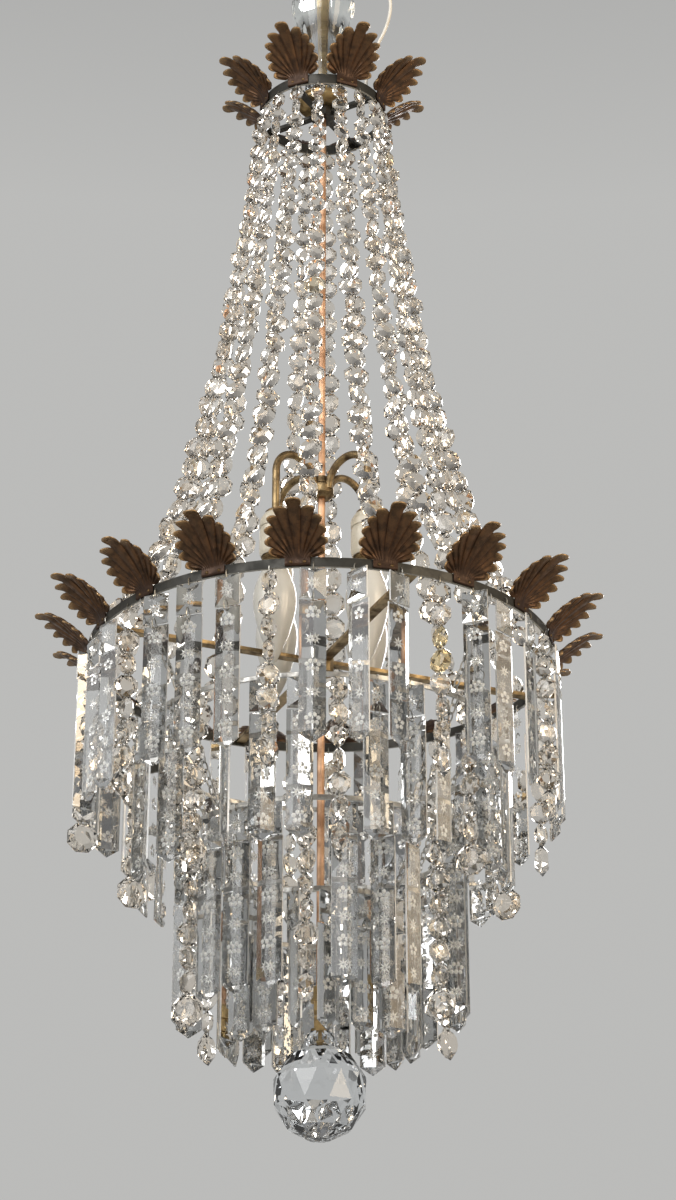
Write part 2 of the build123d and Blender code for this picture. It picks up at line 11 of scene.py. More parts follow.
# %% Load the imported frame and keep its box
import json
import math
from collections import namedtuple
import bmesh
import bpy
import numpy as np
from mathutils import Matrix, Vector

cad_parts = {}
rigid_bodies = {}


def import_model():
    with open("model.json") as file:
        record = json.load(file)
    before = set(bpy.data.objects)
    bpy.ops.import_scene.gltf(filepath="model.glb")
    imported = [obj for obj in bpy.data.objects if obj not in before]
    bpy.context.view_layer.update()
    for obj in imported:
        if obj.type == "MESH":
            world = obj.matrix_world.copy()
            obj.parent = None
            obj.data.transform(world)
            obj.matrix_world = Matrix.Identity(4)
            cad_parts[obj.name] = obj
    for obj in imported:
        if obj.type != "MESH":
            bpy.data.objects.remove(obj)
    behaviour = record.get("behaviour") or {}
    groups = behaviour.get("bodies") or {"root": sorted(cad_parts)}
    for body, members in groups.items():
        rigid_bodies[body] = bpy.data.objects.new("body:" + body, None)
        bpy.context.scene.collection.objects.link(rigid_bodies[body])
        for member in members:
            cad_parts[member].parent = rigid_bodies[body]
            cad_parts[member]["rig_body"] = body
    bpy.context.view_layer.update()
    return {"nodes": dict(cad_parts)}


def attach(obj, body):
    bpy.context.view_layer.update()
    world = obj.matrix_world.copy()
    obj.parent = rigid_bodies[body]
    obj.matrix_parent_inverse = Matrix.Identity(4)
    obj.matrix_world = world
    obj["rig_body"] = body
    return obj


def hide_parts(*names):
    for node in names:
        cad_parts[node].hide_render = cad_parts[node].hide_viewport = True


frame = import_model()

# %% [markdown]
# ## Sizes
#
# Lengths are written in millimetres, because crystals are sold by the millimetre, and `put` turns
# them into metres when a mesh is made. Bearings are degrees round the axis: 0 faces the viewer
# (-Y) and they grow towards +X. Heights are measured from the hanging eye.

# %% The sizes that the pieces share
MAIN_TOP, CROWN_TOP = -695.0, -165.0
MAIN_RADIUS, CROWN_RADIUS = 186.0, 54.0
BAND_THICK, MAIN_BAND, CROWN_BAND, LOWER_BAND = 2.0, 8.0, 10.0, 4.0
HANG_GAP, LINK_GAP = 0.5, 0.6
STRING_EVERY = 4

# a hoop and what hangs from it: `places` hang evenly from the bearing `phase`, a prism's bar is
# `bar` long, and a string has so many equal beads before its last one
Tier = namedtuple("Tier", "radius top band places phase bar beads")
TIERS = {
    "main": Tier(MAIN_RADIUS, MAIN_TOP, MAIN_BAND, 36, -11.5, 112.0, 7),
    "second": Tier(145.0, -769.0, LOWER_BAND, 32, 5.6, 100.0, 6),
    "third": Tier(108.0, -852.0, LOWER_BAND, 24, -5.0, 116.0, 7),
    "fourth": Tier(73.0, -911.0, LOWER_BAND, 18, 6.0, 80.0, 0),
}
print(len(TIERS), "tiers of prisms")

# %% [markdown]
# ## Shapes as arrays
#
# A shape here is a pair: an array of points, and an array of faces. A face row lists its corners
# and is filled up with -1 when it has fewer corners than the widest face. Whole shapes can then
# be turned, moved and copied with one array sum, which is far quicker than asking Blender to
# duplicate objects.


# %% Copy, join and place shapes
def joined(*shapes):
    """One shape from several: points are stacked, and face rows shifted by the points before."""
    width = max(faces.shape[1] for _, faces in shapes)
    points, rows, shift = [], [], 0
    for spots, faces in shapes:
        padded = np.full((len(faces), width), -1)
        padded[:, : faces.shape[1]] = np.where(faces < 0, -1, faces + shift)
        points.append(spots)
        rows.append(padded)
        shift += len(spots)
    return np.concatenate(points), np.concatenate(rows)


def copies(shape, turns, places):
    """Many copies of a shape: each one's points are turned by a 3x3 matrix, then moved."""
    points, faces = shape
    turns, places = np.asarray(turns, float), np.asarray(places, float)
    spots = np.einsum("nij,pj->npi", turns, points) + places[:, None, :]
    shift = (np.arange(len(places)) * len(points))[:, None, None]
    rows = np.where(faces[None] < 0, -1, faces[None] + shift)
    return spots.reshape(-1, 3), rows.reshape(-1, faces.shape[1])


def turn_about(axis, degrees):
    """Matrices that turn by the given degrees about X (0), Y (1) or Z (2), one for each angle."""
    angle = np.radians(np.atleast_1d(degrees).astype(float))
    one, none = np.ones_like(angle), np.zeros_like(angle)
    cosine, sine = np.cos(angle), np.sin(angle)
    rows = {
        0: [[one, none, none], [none, cosine, -sine], [none, sine, cosine]],
        1: [[cosine, none, sine], [none, one, none], [-sine, none, cosine]],
        2: [[cosine, -sine, none], [sine, cosine, none], [none, none, one]],
    }[axis]
    return np.moveaxis(np.array(rows), -1, 0)


def radial(radius, bearing, height):
    """Points at a distance from the axis, a bearing and a height: (r sin b, -r cos b, z)."""
    angle = np.radians(np.asarray(bearing, float))
    spots = np.broadcast_arrays(radius * np.sin(angle), -radius * np.cos(angle), height)
    return np.stack(spots, -1)


def bearings(count, phase):
    """Evenly spaced bearings all the way round: phase + 360 k / count."""
    return phase + 360.0 * np.arange(count) / count


def moved(shape, x=0.0, y=0.0, z=0.0):
    """The shape with all its points shifted."""
    return shape[0] + np.array([x, y, z]), shape[1]


print("a quarter turn about Z takes X to", turn_about(2, 90)[0][:, 0].round(3))


# %% Grids, turned profiles and tubes
def grid_faces(rows, columns, wrap_rows=False, wrap_columns=False):
    """Four-cornered faces between neighbouring points of a grid, stored row by row."""
    row, column = np.meshgrid(
        np.arange(rows if wrap_rows else rows - 1),
        np.arange(columns if wrap_columns else columns - 1),
        indexing="ij",
    )
    next_row, next_column = (row + 1) % rows, (column + 1) % columns
    corners = [row * columns + column, row * columns + next_column]
    corners += [next_row * columns + next_column, next_row * columns + column]
    return np.stack(corners, -1).reshape(-1, 4)


def with_ends(points, faces, sides, ends):
    """A grid of rings, closed by a fan of triangles from each of two end points to the ring
    beside it."""
    around = np.arange(sides)
    after, last = (around + 1) % sides, len(points) - sides
    low = np.stack([np.full(sides, len(points)), around, after], -1)
    high = np.stack([np.full(sides, len(points) + 1), last + after, last + around], -1)
    fans = np.hstack([np.concatenate([low, high]), np.full((2 * sides, 1), -1)])
    return np.concatenate([points, ends]), np.concatenate([faces, fans])


def lathe(profile, sides, ripple=None, closed=False):
    """A profile of (radius, height) turned about Z: point = (r sin a, -r cos a, z) at angle a.

    An open profile is closed at its ends by flat discs; a closed one makes a ring.
    """
    profile = np.asarray(profile, float)
    angle = 2 * math.pi * np.arange(sides) / sides
    radius = profile[:, :1] * (np.ones(sides) if ripple is None else ripple(angle))[None, :]
    height = np.repeat(profile[:, 1:], sides, 1)
    points = np.stack([radius * np.sin(angle), -radius * np.cos(angle), height], -1).reshape(-1, 3)
    faces = grid_faces(len(profile), sides, wrap_rows=closed, wrap_columns=True)
    if closed:
        return points, faces
    return with_ends(points, faces, sides, [[0, 0, profile[0, 1]], [0, 0, profile[-1, 1]]])


def tube(path, radius, sides, across, closed=False):
    """A round wire along points in one plane: point = path + r (cos a * normal + sin a * across).

    The normal is the cross product of the path's direction and the direction across the plane.
    """
    path, across = np.asarray(path, float), np.asarray(across, float)
    if closed:
        along = np.roll(path, -1, 0) - np.roll(path, 1, 0)
    else:
        along = np.gradient(path, axis=0)
    along /= np.linalg.norm(along, axis=1)[:, None]
    normal = np.cross(along, across)
    angle = 2 * math.pi * np.arange(sides) / sides
    cosine, sine = np.cos(angle)[None, :, None], np.sin(angle)[None, :, None]
    ring = cosine * normal[:, None, :] + sine * across
    reach = np.broadcast_to(np.asarray(radius, float), len(path))[:, None, None]
    points = (path[:, None, :] + reach * ring).reshape(-1, 3)
    faces = grid_faces(len(path), sides, wrap_rows=closed, wrap_columns=True)
    if closed:
        return points, faces
    return with_ends(points, faces, sides, path[[0, -1]])


def smooth_profile(points, steps=6):
    """More points between the given ones, on cubic curves that pass through them and, at each
    one, run along the line between its two neighbours."""
    points = np.asarray(points, float)
    before, beyond = 2 * points[:1] - points[1:2], 2 * points[-1:] - points[-2:-1]
    padded = np.concatenate([before, points, beyond])
    t = (np.arange(steps) / steps)[None, :, None]
    a, b, c, d = (padded[k:len(padded) - 3 + k, None, :] for k in range(4))
    square, cube = 2 * a - 5 * b + 4 * c - d, 3 * b - a - 3 * c + d
    curve = 0.5 * (2 * b + (c - a) * t + square * t**2 + cube * t**3)
    return np.concatenate([curve.reshape(-1, points.shape[1]), points[-1:]])


def oval(height, width, wire, steps, sides):
    """A closed wire loop in the plane x = 0: (0, w/2 sin a, h/2 cos a), height along Z."""
    angle = 2 * math.pi * np.arange(steps) / steps
    path = np.stack([np.zeros(steps), width / 2 * np.sin(angle), height / 2 * np.cos(angle)], -1)
    return tube(path, wire, sides, (1, 0, 0), closed=True)


print("a loop has", len(oval(6, 4, 0.4, 8, 3)[1]), "faces")


# %% Put a shape into Blender
def put(name, shape, finish, body="root", smooth=None, marks=None, finish_of_face=None):
    """Make the mesh in metres with outward faces, give it its finish, and let it ride on a body.

    smooth is the angle in degrees under which neighbouring faces are shaded as one surface. marks
    holds named values per point, such as how worn each point is. finish may be a list, and
    finish_of_face then says which of them each face wears.
    """
    points, faces = shape
    mesh = bpy.data.meshes.new(name)
    mesh.from_pydata(points / 1000.0, [], [row[row >= 0].tolist() for row in faces])
    for label, values in (marks or {}).items():
        mark = mesh.attributes.new(label, "FLOAT", "POINT")
        mark.data.foreach_set("value", np.asarray(values, np.float32))
    shell = bmesh.new()
    shell.from_mesh(mesh)
    bmesh.ops.recalc_face_normals(shell, faces=shell.faces)
    shell.to_mesh(mesh)
    shell.free()
    if smooth:
        mesh.shade_smooth()
        mesh.set_sharp_from_angle(angle=math.radians(smooth))
    for one in finish if isinstance(finish, list) else [finish]:
        mesh.materials.append(one)
    if finish_of_face is not None:
        mesh.polygons.foreach_set("material_index", np.asarray(finish_of_face, np.int32))
    piece = bpy.data.objects.new(name, mesh)
    bpy.context.scene.collection.objects.link(piece)
    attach(piece, body)
    return piece


# %% [markdown]
# ## The camera
#
# The photograph was taken from low down, so the camera looks up by about 25 degrees from under
# the hoop. The floor and the world are pale and plain, and are made at the end with the lamps.

# %% Camera
CAMERA_PLACE, LOOK_UP = (0.0135, -1.914, -1.528), 24.8
LENS_LENGTH, SENSOR_WIDTH, SIGHT = 78.0, 36.0, 60.0
lens = bpy.data.cameras.new("camera")
lens.lens, lens.sensor_width, lens.clip_end = LENS_LENGTH, SENSOR_WIDTH, SIGHT
camera = bpy.data.objects.new("camera", lens)
camera.location = CAMERA_PLACE
camera.rotation_euler = (math.radians(90.0 + LOOK_UP), 0.0, 0.0)
bpy.context.scene.collection.objects.link(camera)
bpy.context.scene.camera = camera
bpy.context.scene.view_settings.view_transform = "Standard"
print("camera looks up by", LOOK_UP, "degrees, from", CAMERA_PLACE)

# %% [markdown]
# ## Finishes
#
# Each effect that several finishes share is a node group with named inputs. `patina` mottles a
# metal between its own colour and its tarnish and polishes it where hands and cloths have rubbed,
# and `hand_cut` gives glass the faint tint, the fine waviness and the dust of old hand-cut
# crystal. The mottling reads object coordinates, so it is fixed to the piece and has a real size.


# %% Small helpers for nodes
def add(tree, kind, values=None, **settings):
    """One node with its settings; a value fills an input, and a socket is linked to it."""
    made = tree.nodes.new(kind)
    for key, value in settings.items():
        setattr(made, key, value)
    for key, value in (values or {}).items():
        if isinstance(value, bpy.types.NodeSocket):
            tree.links.new(value, made.inputs[key])
        else:
            made.inputs[key].default_value = value
    return made


def mix_colors(tree, factor, first, second):
    """A colour between two others, by a factor."""
    made = add(tree, "ShaderNodeMix", {0: factor, 6: first, 7: second}, data_type="RGBA")
    return made.outputs[2]


def spread(tree, value, low, high, to_low, to_high):
    """A value mapped from one range to another and held inside it."""
    ends = {"From Min": low, "From Max": high, "To Min": to_low, "To Max": to_high}
    return add(tree, "ShaderNodeMapRange", {"Value": value, **ends}).outputs["Result"]


def maths(tree, operation, first, second):
    """The sum, difference, product or larger of two values, by the operation's name."""
    return add(tree, "ShaderNodeMath", {0: first, 1: second}, operation=operation).outputs[0]


def new_group(name, inputs, outputs):
    """A shader node group; inputs are (kind, name, value) and outputs (kind, name)."""
    group = bpy.data.node_groups.new(name, "ShaderNodeTree")
    for kind, label, value in inputs:
        socket = group.interface.new_socket(label, in_out="INPUT", socket_type="NodeSocket" + kind)
        socket.default_value = value
    for kind, label in outputs:
        group.interface.new_socket(label, in_out="OUTPUT", socket_type="NodeSocket" + kind)
    return group, add(group, "NodeGroupInput").outputs, add(group, "NodeGroupOutput").inputs


def noise(tree, place, scale, **settings):
    """The value of a noise pattern with `scale` waves to the metre and more settings by name."""
    values = {"Vector": place, "Scale": scale, **settings}
    return add(tree, "ShaderNodeTexNoise", values).outputs[0]


def new_finish(name, **constants):
    """A new material, its node tree and its shader, with its constants set on the shader."""
    finish = bpy.data.materials.new(name)
    finish.use_nodes = True
    shader = finish.node_tree.nodes["Principled BSDF"]
    for label, value in constants.items():
        shader.inputs[label.replace("_", " ")].default_value = value
    return finish, finish.node_tree, shader


def dress(tree, shader, group, values, marks, strength, distance):
    """Give a shader the colour, roughness and relief of a node group. Each mark is read from the
    mesh and feeds the input it stands for; strength and distance are those of the relief."""
    for label, mark in marks.items():
        if mark:
            values[label] = add(tree, "ShaderNodeAttribute", attribute_name=mark).outputs["Fac"]
    source = add(tree, "ShaderNodeGroup", values, node_tree=group).outputs
    relief = {"Strength": strength, "Distance": distance, "Height": source["Height"]}
    normal = add(tree, "ShaderNodeBump", relief).outputs["Normal"]
    for socket, output in {"Base Color": source["Color"], "Roughness": source["Roughness"],
                           "Normal": normal}.items():
        tree.links.new(output, shader.inputs[socket])


# %% The patina of old metal
patina, given, result = new_group(
    "patina",
    [("Color", "Metal", (0.5, 0.4, 0.2, 1)), ("Color", "Tarnish", (0.1, 0.07, 0.04, 1)),
     ("Color", "Bright", (0.8, 0.6, 0.3, 1)), ("Float", "Spots", 60.0), ("Float", "Grain", 900.0),
     ("Float", "Rubbed", 0.0), ("Float", "Darkened", 0.0)],
    [("Color", "Color"), ("Float", "Roughness"), ("Float", "Height")],
)
place = add(patina, "ShaderNodeTexCoord").outputs["Object"]
spots = noise(patina, place, given["Spots"], Detail=6.0, Roughness=0.62)
grain = noise(patina, place, given["Grain"], Detail=3.0)
dirt = spread(patina, spots, 0.40, 0.62, 0.0, 1.0)
rubbed = maths(patina, "MULTIPLY", given["Rubbed"], spread(patina, grain, 0.3, 0.6, 0.35, 1.0))
dull = mix_colors(patina, dirt, given["Metal"], given["Tarnish"])
# the second mark pulls what the tarnish has left further towards the tarnish colour, and rubbing
# brightens what that has left
dull = mix_colors(patina, maths(patina, "MULTIPLY", given["Darkened"], 0.85), dull, given["Tarnish"])
patina.links.new(mix_colors(patina, rubbed, dull, given["Bright"]), result["Color"])
# clean metal has roughness 0.34 and dirty metal 0.62, and rubbing takes up to 0.22 away
worn = spread(patina, rubbed, 0.0, 1.0, 0.0, 0.22)
rough = maths(patina, "SUBTRACT", spread(patina, dirt, 0.0, 1.0, 0.34, 0.62), worn)
rough = maths(patina, "ADD", rough, spread(patina, grain, 0.3, 0.7, -0.05, 0.05))
patina.links.new(rough, result["Roughness"])
height = maths(patina, "ADD", spots, maths(patina, "MULTIPLY", grain, 0.35))
patina.links.new(height, result["Height"])
print("patina has", len(patina.nodes), "nodes")


# %% Metal finishes
def metal(name, color, tarnish, bright, spots, grain=900.0, bump=0.25, metallic=1.0, rubbed=None,
          soot=None):
    """A metal finish from the patina group. `rubbed` names the mark of the piece that says where
    it is polished, and the last argument names the mark that says how far its colour is pulled
    towards the tarnish; a lower `metallic` is metal under paint."""
    finish, tree, shader = new_finish(name, Metallic=metallic)
    values = {"Metal": (*color, 1), "Tarnish": (*tarnish, 1), "Bright": (*bright, 1),
              "Spots": spots, "Grain": grain}
    dress(tree, shader, patina, values, {"Rubbed": rubbed, "Darkened": soot}, bump, 0.0006)
    return finish


# the leaves' colour is pulled towards the tarnish by a mark from leaf_surface: most in the notches
# and on the tab, not at the tips
leaf_bronze = metal("leaf_bronze", (0.145, 0.064, 0.023), (0.034, 0.016, 0.008),
                    (0.48, 0.31, 0.15), spots=150.0, grain=1500.0, bump=0.45, metallic=0.55,
                    rubbed="rubbed", soot="soot")
band_iron = metal("band_iron", (0.040, 0.037, 0.029), (0.020, 0.019, 0.015), (0.62, 0.60, 0.54),
                  spots=60.0, grain=1400.0, bump=0.3, metallic=0.35, rubbed="rubbed")
lower_iron = metal("lower_iron", (0.60, 0.59, 0.56), (0.34, 0.33, 0.31), (0.78, 0.78, 0.76),
                   spots=120.0, grain=1400.0, rubbed="rubbed")
lamp_brass = metal("lamp_brass", (0.40, 0.29, 0.15), (0.13, 0.09, 0.05), (0.70, 0.54, 0.30),
                   spots=80.0)
stem_brass = metal("stem_brass", (0.56, 0.40, 0.19), (0.22, 0.15, 0.07), (0.8, 0.62, 0.33),
                   spots=70.0)
rod_copper = metal("rod_copper", (0.74, 0.47, 0.30), (0.42, 0.24, 0.14), (0.88, 0.62, 0.42),
                   spots=50.0)
rivet_iron = metal("rivet_iron", (0.16, 0.10, 0.05), (0.06, 0.04, 0.02), (0.5, 0.4, 0.25),
                   spots=200.0, grain=1500.0, bump=0.3)
pin_wire = metal("pin_wire", (0.55, 0.53, 0.48), (0.20, 0.18, 0.14), (0.8, 0.8, 0.78),
                 spots=200.0, grain=2500.0, bump=0.1)
print("metals: bronze leaves, two irons, two brasses, copper rod, rivets and wire")

# %% The character of hand-cut crystal
hand_cut, given, result = new_group(
    "hand_cut",
    [("Color", "Clear", (1, 1, 1, 1)), ("Color", "Tint", (0.95, 0.93, 0.88, 1)),
     ("Color", "Amber", (0.93, 0.74, 0.40, 1)), ("Float", "Drift", 25.0), ("Float", "Warm", 0.0),
     ("Float", "Dust", 0.03)],
    [("Color", "Color"), ("Float", "Roughness"), ("Float", "Height")],
)
place = add(hand_cut, "ShaderNodeTexCoord").outputs["Object"]
drift = spread(hand_cut, noise(hand_cut, place, given["Drift"], Detail=2.0), 0.35, 0.65, 0.0, 1.0)
specks = spread(hand_cut, noise(hand_cut, place, 700.0, Detail=4.0), 0.52, 0.68, 0.0, 1.0)
tinted = mix_colors(hand_cut, drift, given["Clear"], given["Tint"])
hand_cut.links.new(mix_colors(hand_cut, given["Warm"], tinted, given["Amber"]), result["Color"])
hand_cut.links.new(maths(hand_cut, "MULTIPLY", specks, given["Dust"]), result["Roughness"])
hand_cut.links.new(noise(hand_cut, place, 90.0, Detail=1.0), result["Height"])
print("hand_cut has", len(hand_cut.nodes), "nodes")


# %% Glass finishes
def glass(name, clear, tint, ior=1.54, drift=25.0, dust=0.03, wave=0.03, through=1.0, warm=None):
    """Lead crystal: `through` is how much light passes, and colour, roughness and waviness come
    from hand_cut. `warm` names the mark of the pieces made of warmer glass."""
    finish, tree, shader = new_finish(name, Transmission_Weight=through, IOR=ior)
    values = {"Clear": (*clear, 1), "Tint": (*tint, 1), "Drift": drift, "Dust": dust}
    dress(tree, shader, hand_cut, values, {"Warm": warm}, wave, 0.002)
    return finish


octagon_crystal = glass("octagon_crystal", (0.97, 0.93, 0.87), (0.91, 0.83, 0.73),
                        ior=1.52, warm="warm")
prism_crystal = glass("prism_crystal", (0.96, 0.97, 0.97), (0.88, 0.87, 0.84), drift=14.0)
# the dark grey of the prisms' backs is painted shade: it stands for the darker room seen through
# the bars and makes their bodies darker than the cuts; its extra dust is rougher specks
back_dust_and_painted_shade = glass("back_dust_and_painted_shade", (0.42, 0.43, 0.44), (0.27, 0.27, 0.26), drift=14.0, dust=0.06)
ground_cut = glass("ground_cut", (1.0, 1.0, 0.99), (0.96, 0.95, 0.92), ior=1.5, drift=60.0,
                   dust=0.5, wave=0.4, through=0.2)
ball_crystal = glass("ball_crystal", (0.90, 0.92, 0.93), (0.80, 0.82, 0.84), ior=1.56, drift=8.0,
                     dust=0.01, wave=0.015)
baluster_glass = glass("baluster_glass", (0.92, 0.94, 0.93), (0.84, 0.87, 0.86), ior=1.5,
                       drift=15.0, dust=0.04, wave=0.06)
# the dusty glass of the prisms' backs is mostly painted shade: its dark grey stands for the darker
# room seen through the bars
print("glass: clear, dusty and ground for the prisms, and three more for beads, ball and baluster")

# %% [markdown]
# ## The octagon beads
#
# A chandelier octagon is a lens of glass: a rim of eight corners, and on each side a flat octagon
# turned by half a side, with a ring of triangles between rim and flat. There are nearly 700 of
# them, so one bead is worked out once, with 34 faces, and copied by matrices. Blender's bevel
# could also cut such a form from a disc, but it would leave far more faces.


# %% One bead
def octagon_bead(depth_share=0.44, table_share=0.62):
    """A bead one wide across its flats, facing -Y: rim corners at 22.5 + 45k degrees in the plane
    y = 0, and the corners of the two tables at 45k degrees in the planes y = -depth/2 and
    +depth/2."""
    step = np.arange(8)
    rim_angle, table_angle = np.radians(22.5 + 45 * step), np.radians(45.0 * step)
    corner, table = 0.5 / math.cos(math.radians(22.5)), 0.5 * table_share
    rim = np.stack([corner * np.cos(rim_angle), 0 * step, corner * np.sin(rim_angle)], -1)
    flat = np.stack([table * np.cos(table_angle), 0 * step, table * np.sin(table_angle)], -1)
    tables = [flat + [0, side * depth_share / 2, 0] for side in (-1, 1)]
    after = (step + 1) % 8
    faces = []
    for first in (8, 16):
        table_row = first + step
        faces.append(np.stack([step, after, first + after], -1))
        faces.append(np.stack([step, first + after, table_row], -1))
    triangles = np.hstack([np.concatenate(faces), np.full((32, 5), -1)])
    flats = np.stack([8 + step, 16 + step])
    return np.concatenate([rim, *tables]), np.concatenate([triangles, flats])


bead = octagon_bead()
print("one bead:", len(bead[0]), "points,", len(bead[1]), "faces")

# %% [markdown]
# ## The tent
#
# A strand of beads is a chain held at both ends, so it hangs in a catenary. Height and distance
# from the axis come from the same formula as in the CAD: the lowest point of the curve would lie
# outside the hoop, and the parameter 62 mm fits the photographed strands.


# %% The hanging line of a strand
TENT_SAG, TENT_BEADS, TENT_STRANDS, TENT_PHASE = 62.0, 29, 18, -4.0
TENT_SMALLEST, TENT_LARGEST = 14.0, 22.0


def tent_line():
    """Find the catenary's lowest point by halving, then return the line as a function of the
    length s from the crown: r = vertex - a asinh(u), z = start - a (cosh((vertex - start_r) / a)
    - sqrt(1 + u^2)), with u = (first - s) / a. The third value is how far the line leans from
    upright, in degrees."""
    start_r, start_z = CROWN_RADIUS, CROWN_TOP - CROWN_BAND
    end_r = MAIN_RADIUS - BAND_THICK / 2
    low, high = end_r, end_r + 6 * TENT_SAG
    for _ in range(60):
        vertex = (low + high) / 2
        from_crown, from_hoop = (vertex - start_r) / TENT_SAG, (vertex - end_r) / TENT_SAG
        drop = TENT_SAG * (math.cosh(from_crown) - math.cosh(from_hoop))
        low, high = (vertex, high) if drop < start_z - MAIN_TOP else (low, vertex)
    first = TENT_SAG * math.sinh(from_crown)
    length = first - TENT_SAG * math.sinh(from_hoop)

    def at(distance):
        steep = (first - distance) / TENT_SAG
        radius = vertex - TENT_SAG * np.arcsinh(steep)
        drop = TENT_SAG * (math.cosh(from_crown) - np.sqrt(1 + steep**2))
        return radius, start_z - drop, np.degrees(np.arctan2(1, steep))

    return at, length


tent_at, tent_length = tent_line()
widths = np.linspace(TENT_SMALLEST, TENT_LARGEST, TENT_BEADS)
widths *= (tent_length - LINK_GAP * TENT_BEADS - HANG_GAP) / widths.sum()
middles = HANG_GAP + np.cumsum(widths + LINK_GAP) - LINK_GAP - widths / 2
print("a strand is", round(tent_length, 1), "mm long, beads", widths[[0, -1]].round(1))

# %% [markdown]
# Each bead is turned by its own amount about its strand, because the wire links leave it free,
# and two beads of a warmer glass have been put in as repairs. The mark `warm` says how much. Both
# come from sines of the bead's number, so they look casual and are the same on each run.


# %% All the beads of the tent
def strung(shape, size, radius, height, lean, bearing, spin):
    """Copies of a shape at their sizes, spun about the strand, leant and set at a bearing."""
    turns = turn_about(2, bearing) @ turn_about(0, -lean) @ turn_about(2, spin)
    return copies(shape, turns * size[:, None, None], radial(radius, bearing, height))


strand = np.repeat(bearings(TENT_STRANDS, TENT_PHASE), TENT_BEADS)
order = np.arange(TENT_STRANDS * TENT_BEADS)
tent_r, tent_z, tent_lean = tent_at(np.tile(middles, TENT_STRANDS))
tent_spin = 74 * np.sin(1.9 * order + 0.7 * strand) * np.cos(0.37 * order)
tent_size = np.tile(widths, TENT_STRANDS)
tent_shape = strung(bead, tent_size, tent_r, tent_z, tent_lean, strand, tent_spin)
# the last digits of a large multiple of a sine pick out fewer than one bead in a hundred
warm = np.where(np.sin(12.9898 * order) * 43758.5453 % 1 > 0.992, 0.45, 0.0)
tent = put("tent_beads", tent_shape, octagon_crystal,
           marks={"warm": np.repeat(warm, len(bead[0]))})
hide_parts("tent_strands")
print(len(order), "beads with", len(tent.data.polygons), "faces,", int((warm > 0).sum()), "warm")

# %% [markdown]
# The beads are held together by loops of thin wire through holes near their rims. A loop is an
# oval tube of eight steps and three sides, seen as a bright thread between two beads.

# %% The wire loops of the tent
WIRE_RADIUS, LOOP_HEIGHT, LOOP_WIDTH = 0.45, 7.0, 3.4
loop = oval(LOOP_HEIGHT, LOOP_WIDTH, WIRE_RADIUS, 8, 3)
joints = HANG_GAP / 2 + np.concatenate([[0.0], np.cumsum(widths + LINK_GAP)])
loop_r, loop_z, loop_lean = tent_at(np.tile(joints[:-1], TENT_STRANDS))
size, unspun = np.ones(len(loop_r)), np.zeros(len(loop_r))
put("tent_loops", strung(loop, size, loop_r, loop_z, loop_lean, strand, unspun), pin_wire)
print(len(loop_r), "loops of wire")

# %% [markdown]
# ## The bead strings of the waterfall
#
# Every fourth place on the upper three hoops carries a straight string of equal octagons that
# ends in a larger one. Two beads of the string at the viewer's right have been replaced by amber
# ones.


# %% Strings
EQUAL_BEAD, LAST_BEAD = 18.0, 24.0
AMBER_BEADS = (10, 11)


def hung_places(tier):
    """Bearings and numbers of a tier's prisms, and the bearings of its strings."""
    number = np.arange(tier.places)
    string = (number % STRING_EVERY == 0) & (tier.beads > 0)
    around = bearings(tier.places, tier.phase)
    return around[~string], number[~string], around[string]


def string_beads(beads):
    """Width and height of each bead below the hoop's lower edge, the larger one last."""
    size = np.append(np.full(beads, EQUAL_BEAD), LAST_BEAD)
    height = -HANG_GAP - (EQUAL_BEAD + LINK_GAP) * np.arange(beads + 1) - size / 2
    return size, height


for name in ("main", "second", "third"):
    tier = TIERS[name]
    around = hung_places(tier)[2]
    size, height = string_beads(tier.beads)
    bearing, size = np.repeat(around, len(size)), np.tile(size, len(around))
    number, upright = np.arange(len(size)), np.zeros(len(size))
    heights = tier.top - tier.band + np.tile(height, len(around))
    spin = 85 * np.sin(2.3 * number + tier.radius)
    shape = strung(bead, size, tier.radius, heights, upright, bearing, spin)
    amber = np.where(np.isin(number, AMBER_BEADS) & (name == "main"), 0.85, 0.0)
    string = put(f"{name}_string_beads", shape, octagon_crystal,
                 marks={"warm": np.repeat(amber, len(bead[0]))})
    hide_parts(f"{name}_strings")
    gaps = heights + size / 2 + LINK_GAP / 2
    threads = strung(loop, np.ones(len(size)), tier.radius, gaps, upright, bearing, upright)
    put(f"{name}_string_loops", threads, pin_wire)
    print(name, len(around), "strings,", len(size), "beads")

# %% [markdown]
# ## The cuts in a prism
#
# The prisms are drawn bars with a flat back and a ridge in front. A wheel has cut stars and
# flowers into the flat back, and the two front faces show each of them twice. A star is a ring of
# narrow hollows that meet in the middle, and a flower is a ring of five round ones. They are real
# hollows in the mesh, because glass bends light at real faces and a painted pattern would look
# printed. The wheel leaves them ground and white, and so are the bar's narrow sides. The back is
# a dark grey glass with a little dust: the grey is painted shade, which stands for the darker room
# seen through the bars and darkens the glass between the cuts, so that they show.


# %% Two cells of back face, one with a star and one with a flower
STAR_DEPTH, FLOWER_DEPTH = 0.8, 0.9


def on_back(radius, angle, deep=0.0):
    """Points of the plane y = 0, or `deep` in front of it: (r sin a, -deep, r cos a)."""
    return np.stack([radius * np.sin(angle), 0 * angle - deep, radius * np.cos(angle)], -1)


def corners_and_middle(half_width, half_height):
    """The corners of a cell, clockwise from the viewer's upper right, and then its middle."""
    return np.array([[half_width, 0, half_height], [half_width, 0, -half_height],
                     [-half_width, 0, -half_height], [-half_width, 0, half_height], [0, 0, 0]])


def quarter_of(angle):
    """Which corner of the cell lies nearest to each angle."""
    return np.round((np.degrees(angle) - 45.01) / 90).astype(int) % 4


def stacked(parts):
    """One array of triangles from rows of corner numbers."""
    return np.concatenate([np.stack(part, -1) for part in parts])


